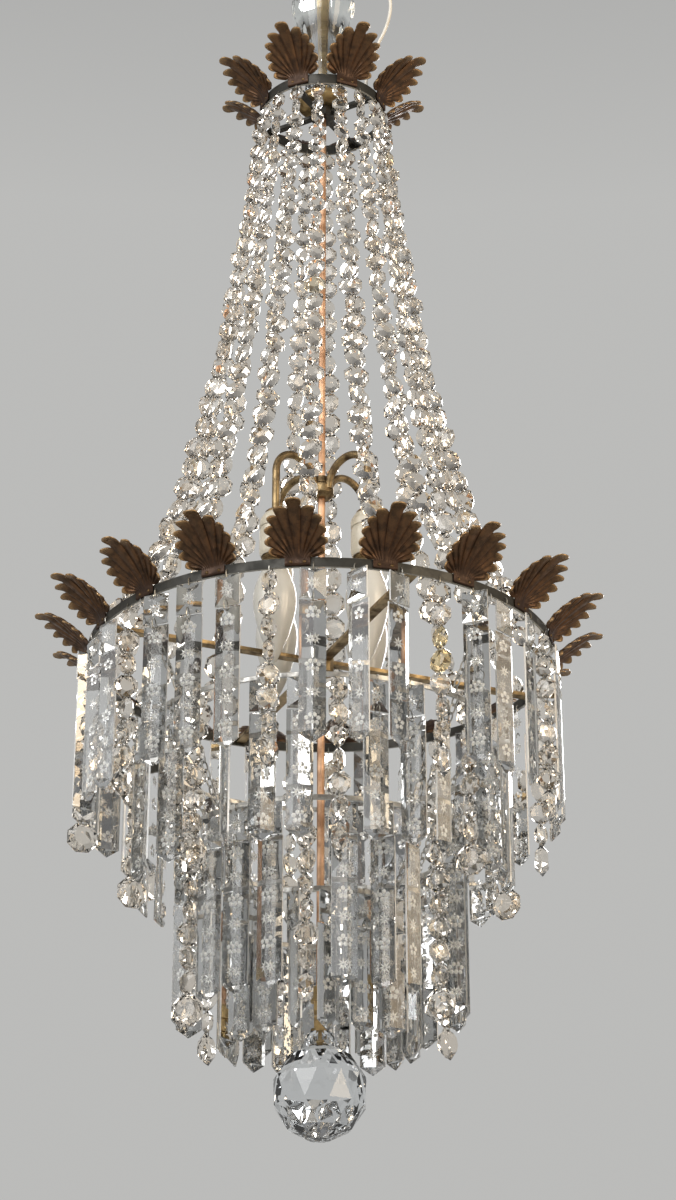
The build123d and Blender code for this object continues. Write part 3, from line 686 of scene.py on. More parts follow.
def star_cell(half_width, half_height, petals=8, inner=0.35, side=2.3, outer=5.4):
    """A flat cell with a star of narrow hollows. Points of petal i, at angle 360 i / n: an inner
    tip, a side point half a petal on, an outer tip, and two deep points between the two tips."""
    step = np.arange(petals)
    axis, edge = 2 * math.pi * step / petals, 2 * math.pi * (step + 0.5) / petals
    third = (outer - inner) / 3
    rings = [on_back(inner, axis), on_back(side, edge), on_back(outer, axis)]
    rings += [on_back(inner + k * third, axis, STAR_DEPTH) for k in (1, 2)]
    tip, flank, end, low, high = (petals * k + step for k in range(5))
    before, after, beyond = np.roll(flank, 1), np.roll(tip, -1), np.roll(end, -1)
    corner, middle = 5 * petals, np.full(petals, 5 * petals + 4)
    hollows = [(tip, flank, low), (flank, high, low), (flank, end, high), (tip, low, before),
               (before, low, high), (before, high, end)]
    near, quarter = quarter_of(edge), np.arange(4)
    last = np.array([np.flatnonzero(near == one)[-1] for one in quarter])
    flat = [(tip, after, flank), (flank, beyond, end), (end, beyond, corner + near),
            (corner + quarter, beyond[last], corner + (quarter + 1) % 4), (middle, after, tip)]
    points = [*rings, corners_and_middle(half_width, half_height)]
    return np.concatenate(points), stacked(hollows + flat)


def flower_cell(half_width, half_height, petals=5, away=3.3, wide=1.9, tall=2.0, reach=7.0):
    """A flat cell with a flower of round hollows. Petal i is a hexagon, `wide` and `tall` in
    radius, round a deep point that lies `away` from the middle at angle 360 i / n. Flat points
    half a petal on, at `reach`, join the petals to the cell's corners."""
    step, turn = np.arange(petals), 2 * math.pi * np.arange(6) / 6
    axis, edge = 2 * math.pi * step / petals, 2 * math.pi * (step + 0.5) / petals
    across, out = wide * np.sin(turn), away + tall * np.cos(turn)
    sine, cosine = np.sin(axis)[:, None], np.cos(axis)[:, None]
    rim_x, rim_z = across * cosine + out * sine, out * cosine - across * sine
    rim = np.stack([rim_x, 0 * rim_x, rim_z], -1).reshape(-1, 3)
    ring = [6 * step + k for k in range(6)]
    low, right = 6 * petals + step, 7 * petals + step
    left, corner, middle = np.roll(right, 1), 8 * petals, np.full(petals, 8 * petals + 4)
    hollows = [(ring[k], ring[(k + 1) % 6], low) for k in range(6)]
    near = corner + quarter_of(2 * math.pi * (step + 1) / petals)
    turned = np.flatnonzero(near != np.roll(near, 1))
    flat = [(right, ring[0], ring[1]), (right, ring[1], ring[2]), (right, ring[2], middle),
            (middle, ring[2], ring[3]), (middle, ring[3], ring[4]), (middle, ring[4], left),
            (left, ring[4], ring[5]), (left, ring[5], ring[0]), (left, ring[0], right),
            (right, np.roll(right, -1), near),
            (right[turned], np.roll(near, 1)[turned], near[turned])]
    points = [rim, on_back(away, axis, FLOWER_DEPTH), on_back(reach, edge)]
    points.append(corners_and_middle(half_width, half_height))
    return np.concatenate(points), stacked(hollows + flat)


print("faces of a star and a flower:", len(star_cell(10, 9.5)[1]), len(flower_cell(10, 9.5)[1]))

# %% [markdown]
# ## Bars and buttons
#
# Both kinds of crystal have the same section: a thin upright wall at each side, and a ridge in
# front. A button is hipped at both ends like a roof, and a bar is hipped at its top and comes to
# a point below. `cut_crystal` builds the shell and fills its back with a row of cells.


# %% One cut crystal
CRYSTAL_HALF, CRYSTAL_WALL, CELL_HEIGHT = 10.0, 1.3, 19.0
BUTTON_HEIGHT, BUTTON_HIP, BUTTON_DEPTH, BUTTON_BACK = 24.5, 6.5, 6.5, BAND_THICK / 2 - 0.1
BAR_HIP, BAR_POINT, BAR_DEPTH, BAR_BACK = 5.0, 7.0, 8.0, 8.0 / 3


def cut_crystal(length, hip, point, pattern, depth, back):
    """Shell of a ridged crystal from z = 0 down: hip is how far down the ridge starts, point the
    height of the pointed end (0 for a square end). The back in the plane y = back is a row of cut
    cells."""
    half, shoulder, ridge = CRYSTAL_HALF, point - length, back - depth
    front = back - CRYSTAL_WALL
    end = -length if point else shoulder
    points = np.array([
        [-half, back, 0], [-half, front, 0], [half, front, 0], [half, back, 0],
        [-half, back, shoulder], [-half, front, shoulder],
        [half, front, shoulder], [half, back, shoulder],
        [0, ridge, -hip], [0, ridge, shoulder + (0 if point else hip)],
        [0, back, end], [0, front, end],
    ])
    faces = [[0, 1, 2, 3], [1, 8, 2, -1], [1, 5, 9, 8], [8, 9, 6, 2], [0, 4, 5, 1], [3, 2, 6, 7]]
    if point:
        faces += [[5, 11, 9, -1], [9, 11, 6, -1], [4, 10, 11, 5], [10, 7, 6, 11], [4, 7, 10, -1]]
    else:
        faces += [[5, 6, 9, -1], [4, 7, 6, 5]]
        points = points[:10]
    cells = max(1, round((-shoulder - 2) / CELL_HEIGHT))
    cell = -shoulder / cells
    parts = [(points, np.array(faces))]
    for number in range(cells):
        kind = pattern[number % len(pattern)]
        middle = -(number + 0.5) * cell
        parts.append(moved(kind(half, cell / 2), y=back, z=middle))
    return joined(*parts)


def finish_numbers(shape, back):
    """For each face 0 on the polished front, 1 on the flat back, 2 where it is ground: a face
    with a deep point, a narrow side or the top edge."""
    corners, real = shape[0][np.maximum(shape[1], 0)], shape[1] >= 0
    depth = back - corners[..., 1]
    cut = ((np.isclose(depth, FLOWER_DEPTH) | np.isclose(depth, STAR_DEPTH)) & real).any(1)
    side = (np.isclose(np.abs(corners[..., 0]), CRYSTAL_HALF) | ~real).all(1)
    top = (np.isclose(corners[..., 2], 0) | ~real).all(1)
    flat = (np.isclose(depth, 0) | ~real).all(1)
    return np.where(cut | side | top, 2, np.where(flat, 1, 0))


button = cut_crystal(BUTTON_HEIGHT, BUTTON_HIP, 0.0, [star_cell], BUTTON_DEPTH, BUTTON_BACK)
button_finish = finish_numbers(button, BUTTON_BACK)
print("button", len(button[1]), "faces,", int((button_finish == 2).sum()), "of them ground")

# %% [markdown]
# ## Hanging the prisms
#
# A button and its bar are pinned one below the other. The pin is a loop of wire in the plane
# across the crystals, so from the front it is a short dark line. Each prism hangs turned by its
# own amount. The 27 prisms of the main hoop swing in the CAD, so each is an object of its own on
# its own body.


# %% A prism and its pins
def casual_turn(place):
    """How far a prism is turned on its pin, in degrees: 62 sin(2.1 n + 0.6) |cos(1.3 n)|."""
    return 62.0 * np.sin(2.1 * place + 0.6) * np.abs(np.cos(1.3 * place))


def prism(length):
    """A button and its bar hung from height 0, and the number of each face's finish."""
    bar = cut_crystal(length, BAR_HIP, BAR_POINT, [flower_cell, star_cell], BAR_DEPTH, BAR_BACK)
    finish = np.concatenate([button_finish, finish_numbers(bar, BAR_BACK)])
    below = -HANG_GAP - BUTTON_HEIGHT - LINK_GAP
    return joined(moved(button, z=-HANG_GAP), moved(bar, z=below)), finish


def prism_pins():
    """The loop through the hoop and the button, and the loop through the button and the bar."""
    upper = moved(oval(7.0, 5.0, WIRE_RADIUS, 10, 4), y=-0.6, z=0.6)
    between = -HANG_GAP - BUTTON_HEIGHT - LINK_GAP / 2
    return joined(upper, moved(oval(9.5, 8.6, WIRE_RADIUS, 12, 4), y=-1.6, z=between))


def hang(name, node_name, body, whole, finish, turns, places):
    """Copies of a prism with their pins: one piece of glass and one of wire on the same body."""
    crystal = put(f"{name}_glass", copies(whole, turns, places),
                  [prism_crystal, back_dust_and_painted_shade, ground_cut], body,
                  finish_of_face=np.tile(finish, len(places)))
    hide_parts(node_name)
    put(f"{name}_pins", copies(pins, turns, places), pin_wire, body)


pins = prism_pins()
for name, tier in TIERS.items():
    around, number, _ = hung_places(tier)
    turns = turn_about(2, around + casual_turn(number))
    places = radial(tier.radius, around, tier.top - tier.band)
    whole, finish = prism(tier.bar)
    if name == "main":
        for k in range(len(around)):
            one, body = f"main_prism_{k + 1:02d}", f"prism_{k + 1:02d}"
            hang(one, one, body, whole, finish, turns[k:k + 1], places[k:k + 1])
    else:
        hang(f"{name}_prisms", f"{name}_prisms", "root", whole, finish, turns, places)
    print(name, len(around), "prisms of", len(whole[1]), "faces")

# %% [markdown]
# ## Hoops
#
# The hoops are bent from flat strip. A small rectangle with broken edges, turned once round the
# axis, gives the strip, and the mark `rubbed` is high on the broken edges, where cloths have
# polished the metal.


# %% Strip hoops
HOOP_SIDES, HOOP_RUBBED = 180, 0.9


def strip(radius, top, height, soft=0.35):
    """A rectangle of the strip's thickness and height, its corners broken by `soft`, turned round
    the axis. The second value is 1 on the upper and lower edges and 0 on the faces between."""
    inner, outer = radius - BAND_THICK / 2, radius + BAND_THICK / 2
    low = top - height
    profile = [(outer, low + soft), (outer, top - soft), (outer - soft, top), (inner + soft, top),
               (inner, top - soft), (inner, low + soft), (inner + soft, low), (outer - soft, low)]
    return lathe(profile, HOOP_SIDES, closed=True), np.repeat([0, 0, 1, 1, 0, 0, 1, 1], HOOP_SIDES)


hoops = {f"{name}_hoop": (tier.radius, tier.top, tier.band) for name, tier in TIERS.items()}
hoops["crown_ring"] = (CROWN_RADIUS, CROWN_TOP, CROWN_BAND)
for node_name, (radius, top, height) in hoops.items():
    wide = node_name in ("main_hoop", "crown_ring")
    shape, edges = strip(radius, top, height)
    hoop = put(f"{node_name}_strip", shape, band_iron if wide else lower_iron, smooth=25,
               marks={"rubbed": HOOP_RUBBED * edges})
    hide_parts(node_name)
print(len(hoops), "hoops of", len(shape[1]), "faces")

# %% [markdown]
# ## Leaves
#
# The leaves are pressed from sheet bronze: a tab riveted to the hoop, then a fan of eleven lobes
# that leans outward, with a knob at its head, a groove between the lobes, a vein in each, and
# rolled tips. A sheet is a surface of two parameters, so one formula on a grid gives the whole
# leaf, and Solidify gives the sheet its thickness.


# %% One leaf as a surface of two parameters
# half of the edge from the tip to the foot: x, y, and the crest, 1 on a lobe and 0 in a notch
LEAF_EDGE = [
    (0, 52, 1), (2.5, 51.5, 1), (4.6, 49.9, 0.9), (5.5, 47.3, 0.8), (5.0, 44.4, 0.5),
    (3.8, 41.2, 0.2), (4.2, 37.4, 0),
    (7.4, 41.0, 0.5), (11.6, 43.0, 1), (14.8, 41.6, 0.9), (14.9, 37.8, 0.4), (11.2, 31.4, 0),
    (15.4, 34.2, 0.5), (19.2, 34.4, 1), (20.4, 31.2, 0.8), (18.2, 27.6, 0.3), (13.6, 23.6, 0),
    (18.4, 25.6, 0.5), (22.2, 24.4, 1), (22.6, 21.0, 0.8), (19.8, 18.0, 0.3), (14.8, 15.6, 0),
    (19.8, 16.4, 0.5), (23.0, 14.2, 1), (22.6, 11.0, 0.8), (19.6, 8.6, 0.3), (15.4, 7.4, 0),
    (19.4, 7.4, 0.6), (20.8, 4.6, 1), (19.2, 2.0, 0.7), (16.0, 0.8, 0.3), (12.0, 0.0, 0),
]
LEAF_LENGTH, TAB_HALF = 52.0, 9.5
GROOVE_DEPTH, VEIN_HEIGHT, TIP_ROLL = 1.6, 0.9, 2.8
# how steeply the midrib rises, in degrees, at shares of the leaf's length (-1 is down the tab)
MIDRIB = [(-1, 90), (-0.02, 90), (0.06, 44), (0.4, 38), (0.8, 30), (0.93, 21), (1.0, 8)]


def leaf_surface(band_height, rows=14):
    """Grid over p (-1 at the tab's foot, 0 at the band's edge, 1 at the leaf's edge) and t along
    the edge.

    A point lies on the straight line from the base to the edge, base + p (edge - base). Its
    height off the sheet adds a groove to each notch, a fine vein to each lobe and a roll of the
    lobe's tip. Last, the sheet is bent along the midrib: the length along it is summed up as
    steps out and up. The other two values say for each point how much it is rubbed and how far
    its colour is darkened: most in the notches and on the tab, half along the lobes' middles,
    not at the tips.
    """
    half = smooth_profile(LEAF_EDGE, 2)
    mirror = half[:0:-1] * [-1, 1, 1]
    edge_x, edge_y, crest = np.concatenate([mirror, half]).T
    crest = np.clip(crest, 0, 1)
    t = np.linspace(-1, 1, len(edge_x))
    p = np.concatenate([np.linspace(-1, 0, 4)[:-1], np.linspace(0, 1, rows) ** 0.8])[:, None]
    inside = np.clip(p, 0, 1)
    x = (1 - inside) * TAB_HALF * t + inside * edge_x
    along = inside * edge_y + np.minimum(p, 0) * (band_height - 1.0)
    groove = GROOVE_DEPTH * (1 - crest) * inside * (1.2 - 0.4 * inside)
    ridge = np.clip((crest - 0.85) / 0.15, 0, 1) * np.clip(inside * (1.02 - inside) * 4, 0, 1)
    roll = np.clip((inside - 0.84) / 0.16, 0, 1) ** 2 * crest
    cupped = 1.0 - 0.0022 * x**2 * inside
    lift = (groove - VEIN_HEIGHT * ridge - TIP_ROLL * roll + cupped) * np.clip(p * 6, 0, 1)
    spine = np.linspace(-band_height, LEAF_LENGTH, 80)
    rise = np.interp(spine / LEAF_LENGTH, *np.transpose(MIDRIB))
    stride = np.diff(spine, prepend=spine[0])
    out = np.cumsum(stride * np.cos(np.radians(rise)))
    up = np.cumsum(stride * np.sin(np.radians(rise)))
    up -= np.interp(0.0, spine, up)
    tilt = np.radians(np.interp(along, spine, rise))
    y = -(np.interp(along, spine, out) - lift * np.sin(tilt))
    z = np.interp(along, spine, up) + lift * np.cos(tilt)
    tips = np.clip((inside - 0.86) / 0.14, 0, 1) * crest
    worn = np.clip(tips * 0.9 + 0.15 * crest * inside, 0, 1) * (p > 0)
    hollow = np.clip((1 - crest) * 0.9 + np.clip((crest - 0.9) / 0.1, 0, 1) * 0.5, 0, 1)
    # this mark darkens the colour: most in the notches and on the tab, fading out over the leaf's
    # first fifth, half along the lobes' middles, not at the tips
    soot = np.clip(hollow * (1 - tips) + np.clip(1 - inside * 5, 0, 1), 0, 1)
    leaf = np.stack([x, y, z], -1).reshape(-1, 3), grid_faces(*x.shape)
    return leaf, worn.ravel(), soot.ravel()


LEAF_OFF, SHEET_WALL = 0.6, 0.001
# how many leaves and the bearing of the first, then the band's radius, top and height
LEAF_RINGS = {
    "main": (18, -5.0, MAIN_RADIUS, MAIN_TOP, MAIN_BAND),
    "crown": (8, 22.5, CROWN_RADIUS, CROWN_TOP, CROWN_BAND),
}
for name, (count, phase, radius, top, band_height) in LEAF_RINGS.items():
    leaf, worn, soot = leaf_surface(band_height)
    around = bearings(count, phase)
    seat = radius + BAND_THICK / 2 + LEAF_OFF
    shape = copies(leaf, turn_about(2, around), radial(seat, around, top))
    sheet = put(f"{name}_leaf_ring", shape, leaf_bronze, smooth=70,
                marks={"rubbed": np.tile(worn, count), "soot": np.tile(soot, count)})
    wall = sheet.modifiers.new("sheet", "SOLIDIFY")
    wall.thickness, wall.offset = SHEET_WALL, 0.0
    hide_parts(f"{name}_leaves")
print("a leaf has", len(leaf[1]), "faces")


# %% Rivets that hold the leaves' tabs
def dome(radius, height, sides=10):
    """A rivet's head that faces -Y: circles of radius r cos b at height h sin b, b up to 80."""
    rise = np.radians([0, 30, 58, 80])
    head = lathe(np.stack([radius * np.cos(rise), height * np.sin(rise)], -1), sides)
    return head[0] @ turn_about(0, 90)[0].T, head[1]


RIVET_RADIUS, RIVET_HEIGHT, RIVET_OFF, RIVET_SIDE = 1.5, 1.0, 1.1, 5.0
rivet = dome(RIVET_RADIUS, RIVET_HEIGHT)
for name, (count, phase, radius, top, band_height) in LEAF_RINGS.items():
    seat = radius + BAND_THICK / 2 + RIVET_OFF
    sideways = np.degrees(RIVET_SIDE / seat) * np.tile([-1, 1], count)
    around = np.repeat(bearings(count, phase), 2) + sideways
    shape = copies(rivet, turn_about(2, around), radial(seat, around, top - band_height / 2))
    put(f"{name}_rivets", shape, rivet_iron, smooth=50)
print("two rivets to a leaf,", RIVET_SIDE, "mm to each side of its middle")

# %% [markdown]
# ## Stem
#
# The stem is what the chandelier hangs by: a closed eye, a turned cap, a glass baluster round a
# brass tube, and a cup. Turned pieces are profiles carried round the axis. The baluster is blown
# in a ribbed mould, so its radius ripples twelve times on the way round, and a small cut ring of
# glass sits round its foot.


# %% Eye, cap and cup
EYE_RADIUS, EYE_WIRE = 12.5, 2.5


def ring_eye():
    """The hanging eye: a ring (r sin a, 0, r cos a) in the plane y = 0, and its shank."""
    angle = 2 * math.pi * np.arange(48) / 48
    path = np.stack([EYE_RADIUS * np.sin(angle), 0 * angle, EYE_RADIUS * np.cos(angle)], -1)
    ring = tube(path, EYE_WIRE, 14, (0, 1, 0), closed=True)
    shank = lathe([(3.0, -25.0), (3.0, -17.5), (4.6, -16.5), (4.6, -14.8), (2.6, -13.2)], 24)
    return joined(ring, shank)


eye = put("eye_ring", ring_eye(), stem_brass, smooth=40)
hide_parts("hanging_eye")
# profiles of turned pieces are (radius, height)
cap_line = [(15.0, -33.0), (16.0, -32.2), (16.0, -30.0), (14.6, -29.4), (14.6, -28.2),
            (15.6, -27.4), (15.6, -26.0), (13.0, -24.5), (9.0, -22.0), (6.8, -19.0),
            (6.2, -17.0), (3.2, -17.0)]
cap = put("cap_turned", lathe(cap_line, 64), stem_brass, smooth=30)
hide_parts("stem_cap")
cup_line = [(5.6, -165.0), (16.0, -165.0), (18.0, -164.2), (20.0, -162.8), (21.8, -161.0),
            (22.0, -159.0), (21.2, -158.4), (21.2, -157.6), (22.2, -156.8), (22.0, -155.2),
            (20.4, -155.0), (20.0, -156.0), (19.8, -161.9), (5.6, -161.9)]
cup = put("cup_turned", lathe(cup_line, 64, closed=True), stem_brass, smooth=30)
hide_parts("baluster_cup")
print("faces of eye, cap and cup:", [len(piece.data.polygons) for piece in (eye, cap, cup)])


# %% The baluster and its cut ring
def ribs(angle):
    """How the radius ripples with twelve ribs: 0.98 + 0.028 |cos 6a|."""
    return 1 + 0.028 * np.abs(np.cos(6 * angle)) - 0.02


bulge = [(16.5, -161.8), (17.3, -158.0), (17.4, -153.5), (15.6, -150.5), (13.6, -147.5),
         (12.9, -143.0), (12.9, -139.0), (13.2, -137.0), (13.6, -130.0), (14.6, -120.0),
         (17.0, -105.0), (20.5, -88.0), (25.0, -70.0), (28.0, -58.0), (28.4, -50.0),
         (26.8, -44.0), (22.0, -38.5), (15.0, -33.4)]
tube_way = [(5.9, -33.4), (5.9, -161.8)]
wall = np.concatenate([smooth_profile(bulge, 4), tube_way])
baluster = put("baluster_ribbed", lathe(wall, 96, ribs, closed=True), baluster_glass, smooth=28)
facets = [(13.1, -147.0), (14.8, -146.6), (16.2, -144.4), (15.0, -142.0), (16.2, -139.6),
          (14.8, -137.4), (13.1, -137.0)]
put("baluster_cut_collar", lathe(facets, 14, closed=True), ball_crystal)
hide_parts("stem_baluster")
print("baluster", len(baluster.data.polygons), "faces")

# %% [markdown]
# ## Lamps
#
# Four candle bulbs hang, point down, from ceramic holders on arched brass arms. An arm is a tube
# carried along a half circle and a straight drop.


# %% Arms and hub
LAMP_HUB, LAMP_RADIUS, LAMP_DROP = -545.0, 52.0, 38.0
HUB_RADIUS, ARM_RADIUS = 8.0, 3.2
lamp_places = bearings(4, 45.0)


def lamp_arm():
    """A tube from the hub over a half circle and straight down, drawn facing -Y."""
    arch = (LAMP_RADIUS - HUB_RADIUS) / 2
    bend = np.radians(np.linspace(0, 180, 25))
    over = [0 * bend, -(HUB_RADIUS + arch) + arch * np.cos(bend), LAMP_HUB + arch * np.sin(bend)]
    fall = np.linspace(LAMP_HUB - 3, LAMP_HUB - LAMP_DROP, 8)
    down = [0 * fall, 0 * fall - LAMP_RADIUS, fall]
    return tube(np.concatenate([over, down], 1).T, ARM_RADIUS, 16, (1, 0, 0))


def at_lamps(shape, height):
    """A turned shape at each of the four lamps, with its own zero at a height."""
    return copies(shape, turn_about(2, lamp_places), radial(LAMP_RADIUS, lamp_places, height))


hub_line = [(3.2, -552.0), (6.5, -552.0), (8.0, -550.5), (10.0, -548.5), (10.0, -541.5),
            (8.0, -539.5), (6.5, -538.0), (6.5, -533.0), (3.2, -531.5)]
collar_line = [(3.4, 0.0), (7.0, -0.4), (8.6, -2.0), (8.6, -3.4), (7.4, -4.0)]
arms = copies(lamp_arm(), turn_about(2, lamp_places), np.zeros((4, 3)))
collars = at_lamps(lathe(collar_line, 24), -581.0)
bracket = put("lamp_arms", joined(arms, lathe(hub_line, 48), collars), lamp_brass, smooth=35)
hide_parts("lamp_bracket")
print("lamp arms", len(bracket.data.polygons), "faces")

# %% [markdown]
# Ceramic, opal glass and the flex's cover are plain bodies under a thin gloss. Two colours that
# lie close together drift over them in soft clouds, and a finer pattern varies how sharply they
# shine.


# %% Ceramic, bulb and flex finishes
def plain_body(name, light, dark, roughness, coat, scale, bump, mottle=0.09, through=0.0):
    """Faint clouds of two colours under a glaze. The roughness varies by `mottle` to each side,
    and `through` is how much light passes."""
    finish, tree, shader = new_finish(name, Coat_Weight=coat, Coat_Roughness=0.12,
                                      Transmission_Weight=through)
    place = add(tree, "ShaderNodeTexCoord").outputs["Object"]
    cloud = spread(tree, noise(tree, place, scale, Detail=5.0), 0.42, 0.68, 0.0, 1.0)
    fine = noise(tree, place, scale * 14, Detail=3.0)
    tree.links.new(mix_colors(tree, cloud, (*light, 1), (*dark, 1)), shader.inputs["Base Color"])
    gloss = spread(tree, fine, 0.3, 0.7, roughness - mottle, roughness + mottle)
    tree.links.new(gloss, shader.inputs["Roughness"])
    relief = add(tree, "ShaderNodeBump", {"Strength": bump, "Distance": 0.0005, "Height": fine})
    tree.links.new(relief.outputs["Normal"], shader.inputs["Normal"])
    return finish


lamp_ceramic = plain_body("lamp_ceramic", (0.74, 0.68, 0.55), (0.55, 0.48, 0.36),
                          roughness=0.32, coat=0.6, scale=45.0, bump=0.15)
bulb_opal = plain_body("bulb_opal", (0.80, 0.78, 0.72), (0.72, 0.69, 0.61), roughness=0.2,
                       coat=0.5, scale=14.0, bump=0.0005, mottle=0.02, through=0.15)
flex_cover = plain_body("flex_cover", (0.78, 0.74, 0.66), (0.66, 0.61, 0.52), roughness=0.38,
                        coat=0.25, scale=60.0, bump=0.12)
print("ceramic, opal and flex finishes")

# %% Holders and bulbs
holder_line = [(6.8, 0.0), (9.5, -2.0), (12.2, -6.5), (13.0, -9.5), (13.0, -14.0),
               (12.2, -14.8), (12.2, -17.0), (13.0, -17.8), (13.0, -36.0), (12.4, -38.5),
               (11.6, -40.0), (10.6, -39.0)]
holders = put("lampholder_ring", at_lamps(lathe(holder_line, 40), -583.0), lamp_ceramic, smooth=32)
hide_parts("lampholders")
# the cap's thread is a zigzag under a short plain neck
turns = [(10.8 - 0.9 * (k % 2), -3.0 - 0.9 * k) for k in range(5)]
thread_line = [(10.4, 2.0), (10.4, -2.5), *turns, (9.5, -7.8)]
put("bulb_caps", at_lamps(lathe(thread_line, 24), -621.5), lamp_brass, smooth=30)
bulb_line = [(9.4, -7.5), (11.5, -14.0), (15.8, -26.0), (17.4, -37.0), (16.2, -50.0),
             (12.6, -64.0), (7.6, -78.0), (3.6, -87.0), (1.4, -91.0), (0.4, -91.9)]
bulb = lathe(smooth_profile(bulb_line, 4), 32)
bulbs = put("bulb_glasses", at_lamps(bulb, -623.0), bulb_opal, smooth=60)
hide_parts("bulbs")
print(len(lamp_places), "lamps, a bulb has", len(bulb[1]), "faces")

# %% [markdown]
# ## Chains between the hoops
#
# The three lower hoops hang from the one above by short chains. A link is an oval of wire, and
# every second link is turned by a quarter.


# %% Chains
def between_places(places, phase, near):
    """The bearing midway between the two hanging places on either side of a bearing."""
    pitch = 360.0 / places
    return phase + pitch * (np.floor((near - phase) / pitch) + 0.5)


def chain(start, end, link_height=8.0, link_width=5.0, wire=0.65):
    """Links from one point to another in the plane x = 0, every second one turned by a quarter.
    Neighbours overlap by 2.4 wire radii, and all stretch a little to fill the run."""
    start, end = np.asarray(start, float), np.asarray(end, float)
    run, overlap = np.linalg.norm(end - start), 2.4 * wire
    count = max(2, int(round(run / (link_height - overlap))))
    share = (np.arange(count) + 0.5) / count
    places = start + share[:, None] * (end - start)
    lean = np.degrees(np.arctan2(end[1] - start[1], end[2] - start[2]))
    turns = turn_about(0, -lean + 0 * share) @ turn_about(2, 90.0 * (np.arange(count) % 2))
    return copies(oval(run / count + overlap, link_width, wire, 12, 5), turns, places)


# a chain starts 1.5 mm above the upper hoop's lower edge and ends 1.5 mm below the next one's top
hold, levels, lengths = 1.5, list(TIERS.values()), []
for high, low in zip(levels, levels[1:]):
    one = chain((0, -high.radius, high.top - high.band + hold), (0, -low.radius, low.top - hold))
    around = between_places(high.places, high.phase, bearings(4, 45.0))
    lengths.append(copies(one, turn_about(2, around), np.zeros((4, 3))))
links = joined(*lengths)
chains = put("hoop_chains", links, lower_iron, smooth=60,
             marks={"rubbed": np.zeros(len(links[0]))})
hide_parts("hoop_stays")
print("chains", len(chains.data.polygons), "faces")

# %% [markdown]
# ## The ball
#
# The ball is cut in triangles: rings of twelve corners, each half a facet round from the last,
# with a small flat at the top for the collar and a point below.


# %% Ball and collar
def cut_ball(radius, latitudes, corners, phase=0.0, point=True):
    """Rings of corners at the given latitudes round the origin, (r cos v, bearing, r sin v), with
    ring k turned by half a facet when k is odd, and triangles between them. Below is a point or a
    flat, above a flat."""
    pitch = 360.0 / corners
    step = np.arange(corners)
    ahead, back = (step + 1) % corners, (step - 1) % corners
    tilt = np.radians(np.asarray(latitudes, float))
    around = phase + pitch * (step[None, :] + 0.5 * (np.arange(len(tilt)) % 2)[:, None])
    reach, height = radius * np.cos(tilt)[:, None], radius * np.sin(tilt)[:, None]
    rings = radial(reach, around, height).reshape(-1, 3)
    faces = []
    for ring in range(len(tilt) - 1):
        low, high = ring * corners, (ring + 1) * corners
        left, right = (step, ahead) if ring % 2 else (back, step)
        faces.append(np.stack([low + step, low + ahead, high + right], -1))
        faces.append(np.stack([high + right, high + left, low + step], -1))
    bottom, top, last = len(rings), len(rings) + 1, (len(tilt) - 1) * corners
    faces.append(np.stack([np.full(corners, bottom), ahead, step], -1))
    faces.append(np.stack([np.full(corners, top), last + step, last + ahead], -1))
    low_z = -radius if point else radius * math.sin(tilt[0])
    ends = np.array([[0, 0, low_z], [0, 0, radius * math.sin(tilt[-1])]])
    return np.concatenate([rings, ends]), np.concatenate(faces)


BALL_RADIUS, BALL_FLAT = 36.5, -1013.0
BALL_RINGS = (-76, -49, -17, 17, 49, 76)
ball_centre = BALL_FLAT - BALL_RADIUS * math.sin(math.radians(BALL_RINGS[-1]))
ball_shape = moved(cut_ball(BALL_RADIUS, BALL_RINGS, 12, 12.0), z=ball_centre)
ball = put("ball_cut", ball_shape, ball_crystal, "ball")
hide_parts("crystal_ball")
# the collar is squeezed until it is 10 mm high, so its middle lies 5 mm above the ball's flat
round_collar = cut_ball(12.0, (-35, 0, 35), 8, point=False)
squeezed = round_collar[0] * [1.0, 1.0, 0.7265], round_collar[1]
collar = put("collar_cut", moved(squeezed, z=BALL_FLAT + 5.0), ball_crystal, "ball")
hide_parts("ball_collar")
print("ball", len(ball.data.polygons), "faces, centre", round(ball_centre, 1))

# %% [markdown]
# ## The flex
#
# The supply flex leaves a bush on the crown's spider, bows out beside the baluster and goes into
# the cap. It is a NURBS curve whose control points are the points of its route in the CAD. The
# order and the end setting come after the points, or Blender keeps straight runs.


# %% Flex as a curve
FLEX_BEARING, FLEX_RADIUS = 60.0, 0.0015
# distance from the axis and height above the crown's top, in millimetres
FLEX_ROUTE = [(44, 7), (44, 25), (53, 46), (66, 66), (71, 91), (63, 115), (43, 132), (16.5, 138)]
route = np.array(FLEX_ROUTE, float)
flex_points = radial(route[:, 0], FLEX_BEARING, CROWN_TOP + route[:, 1]) / 1000.0
curve = bpy.data.curves.new("supply_flex_cord", "CURVE")
curve.dimensions = "3D"
curve.bevel_depth, curve.bevel_resolution, curve.resolution_u = FLEX_RADIUS, 4, 16
spline = curve.splines.new("NURBS")
spline.points.add(len(flex_points) - 1)
spline.points.foreach_set("co", np.hstack([flex_points, np.ones((len(flex_points), 1))]).ravel())
spline.order_u = 3
spline.use_endpoint_u = True
curve.materials.append(flex_cover)
flex = bpy.data.objects.new("supply_flex_cord", curve)
bpy.context.scene.collection.objects.link(flex)
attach(flex, "root")
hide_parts("supply_flex")
print("flex from", flex_points[0].round(3), "to", flex_points[-1].round(3))

# %% [markdown]
# ## CAD pieces that stay
#
# The rod, the tube, the spiders and the ball's fork, link and yoke have their true shape in the
# CAD, so they stay and only get their finish.

# %% Finish for the CAD nodes
kept = {"center_rod": rod_copper, "stem_tube": stem_brass, "crown_spider": band_iron,
        "main_spider": lamp_brass, "rod_fork": stem_brass, "ball_link": stem_brass,
        "ball_yoke": stem_brass}
for node_name, finish in kept.items():
    mesh = frame["nodes"][node_name].data
    mesh.materials.clear()
    mesh.materials.append(finish)
print("kept", sorted(kept))

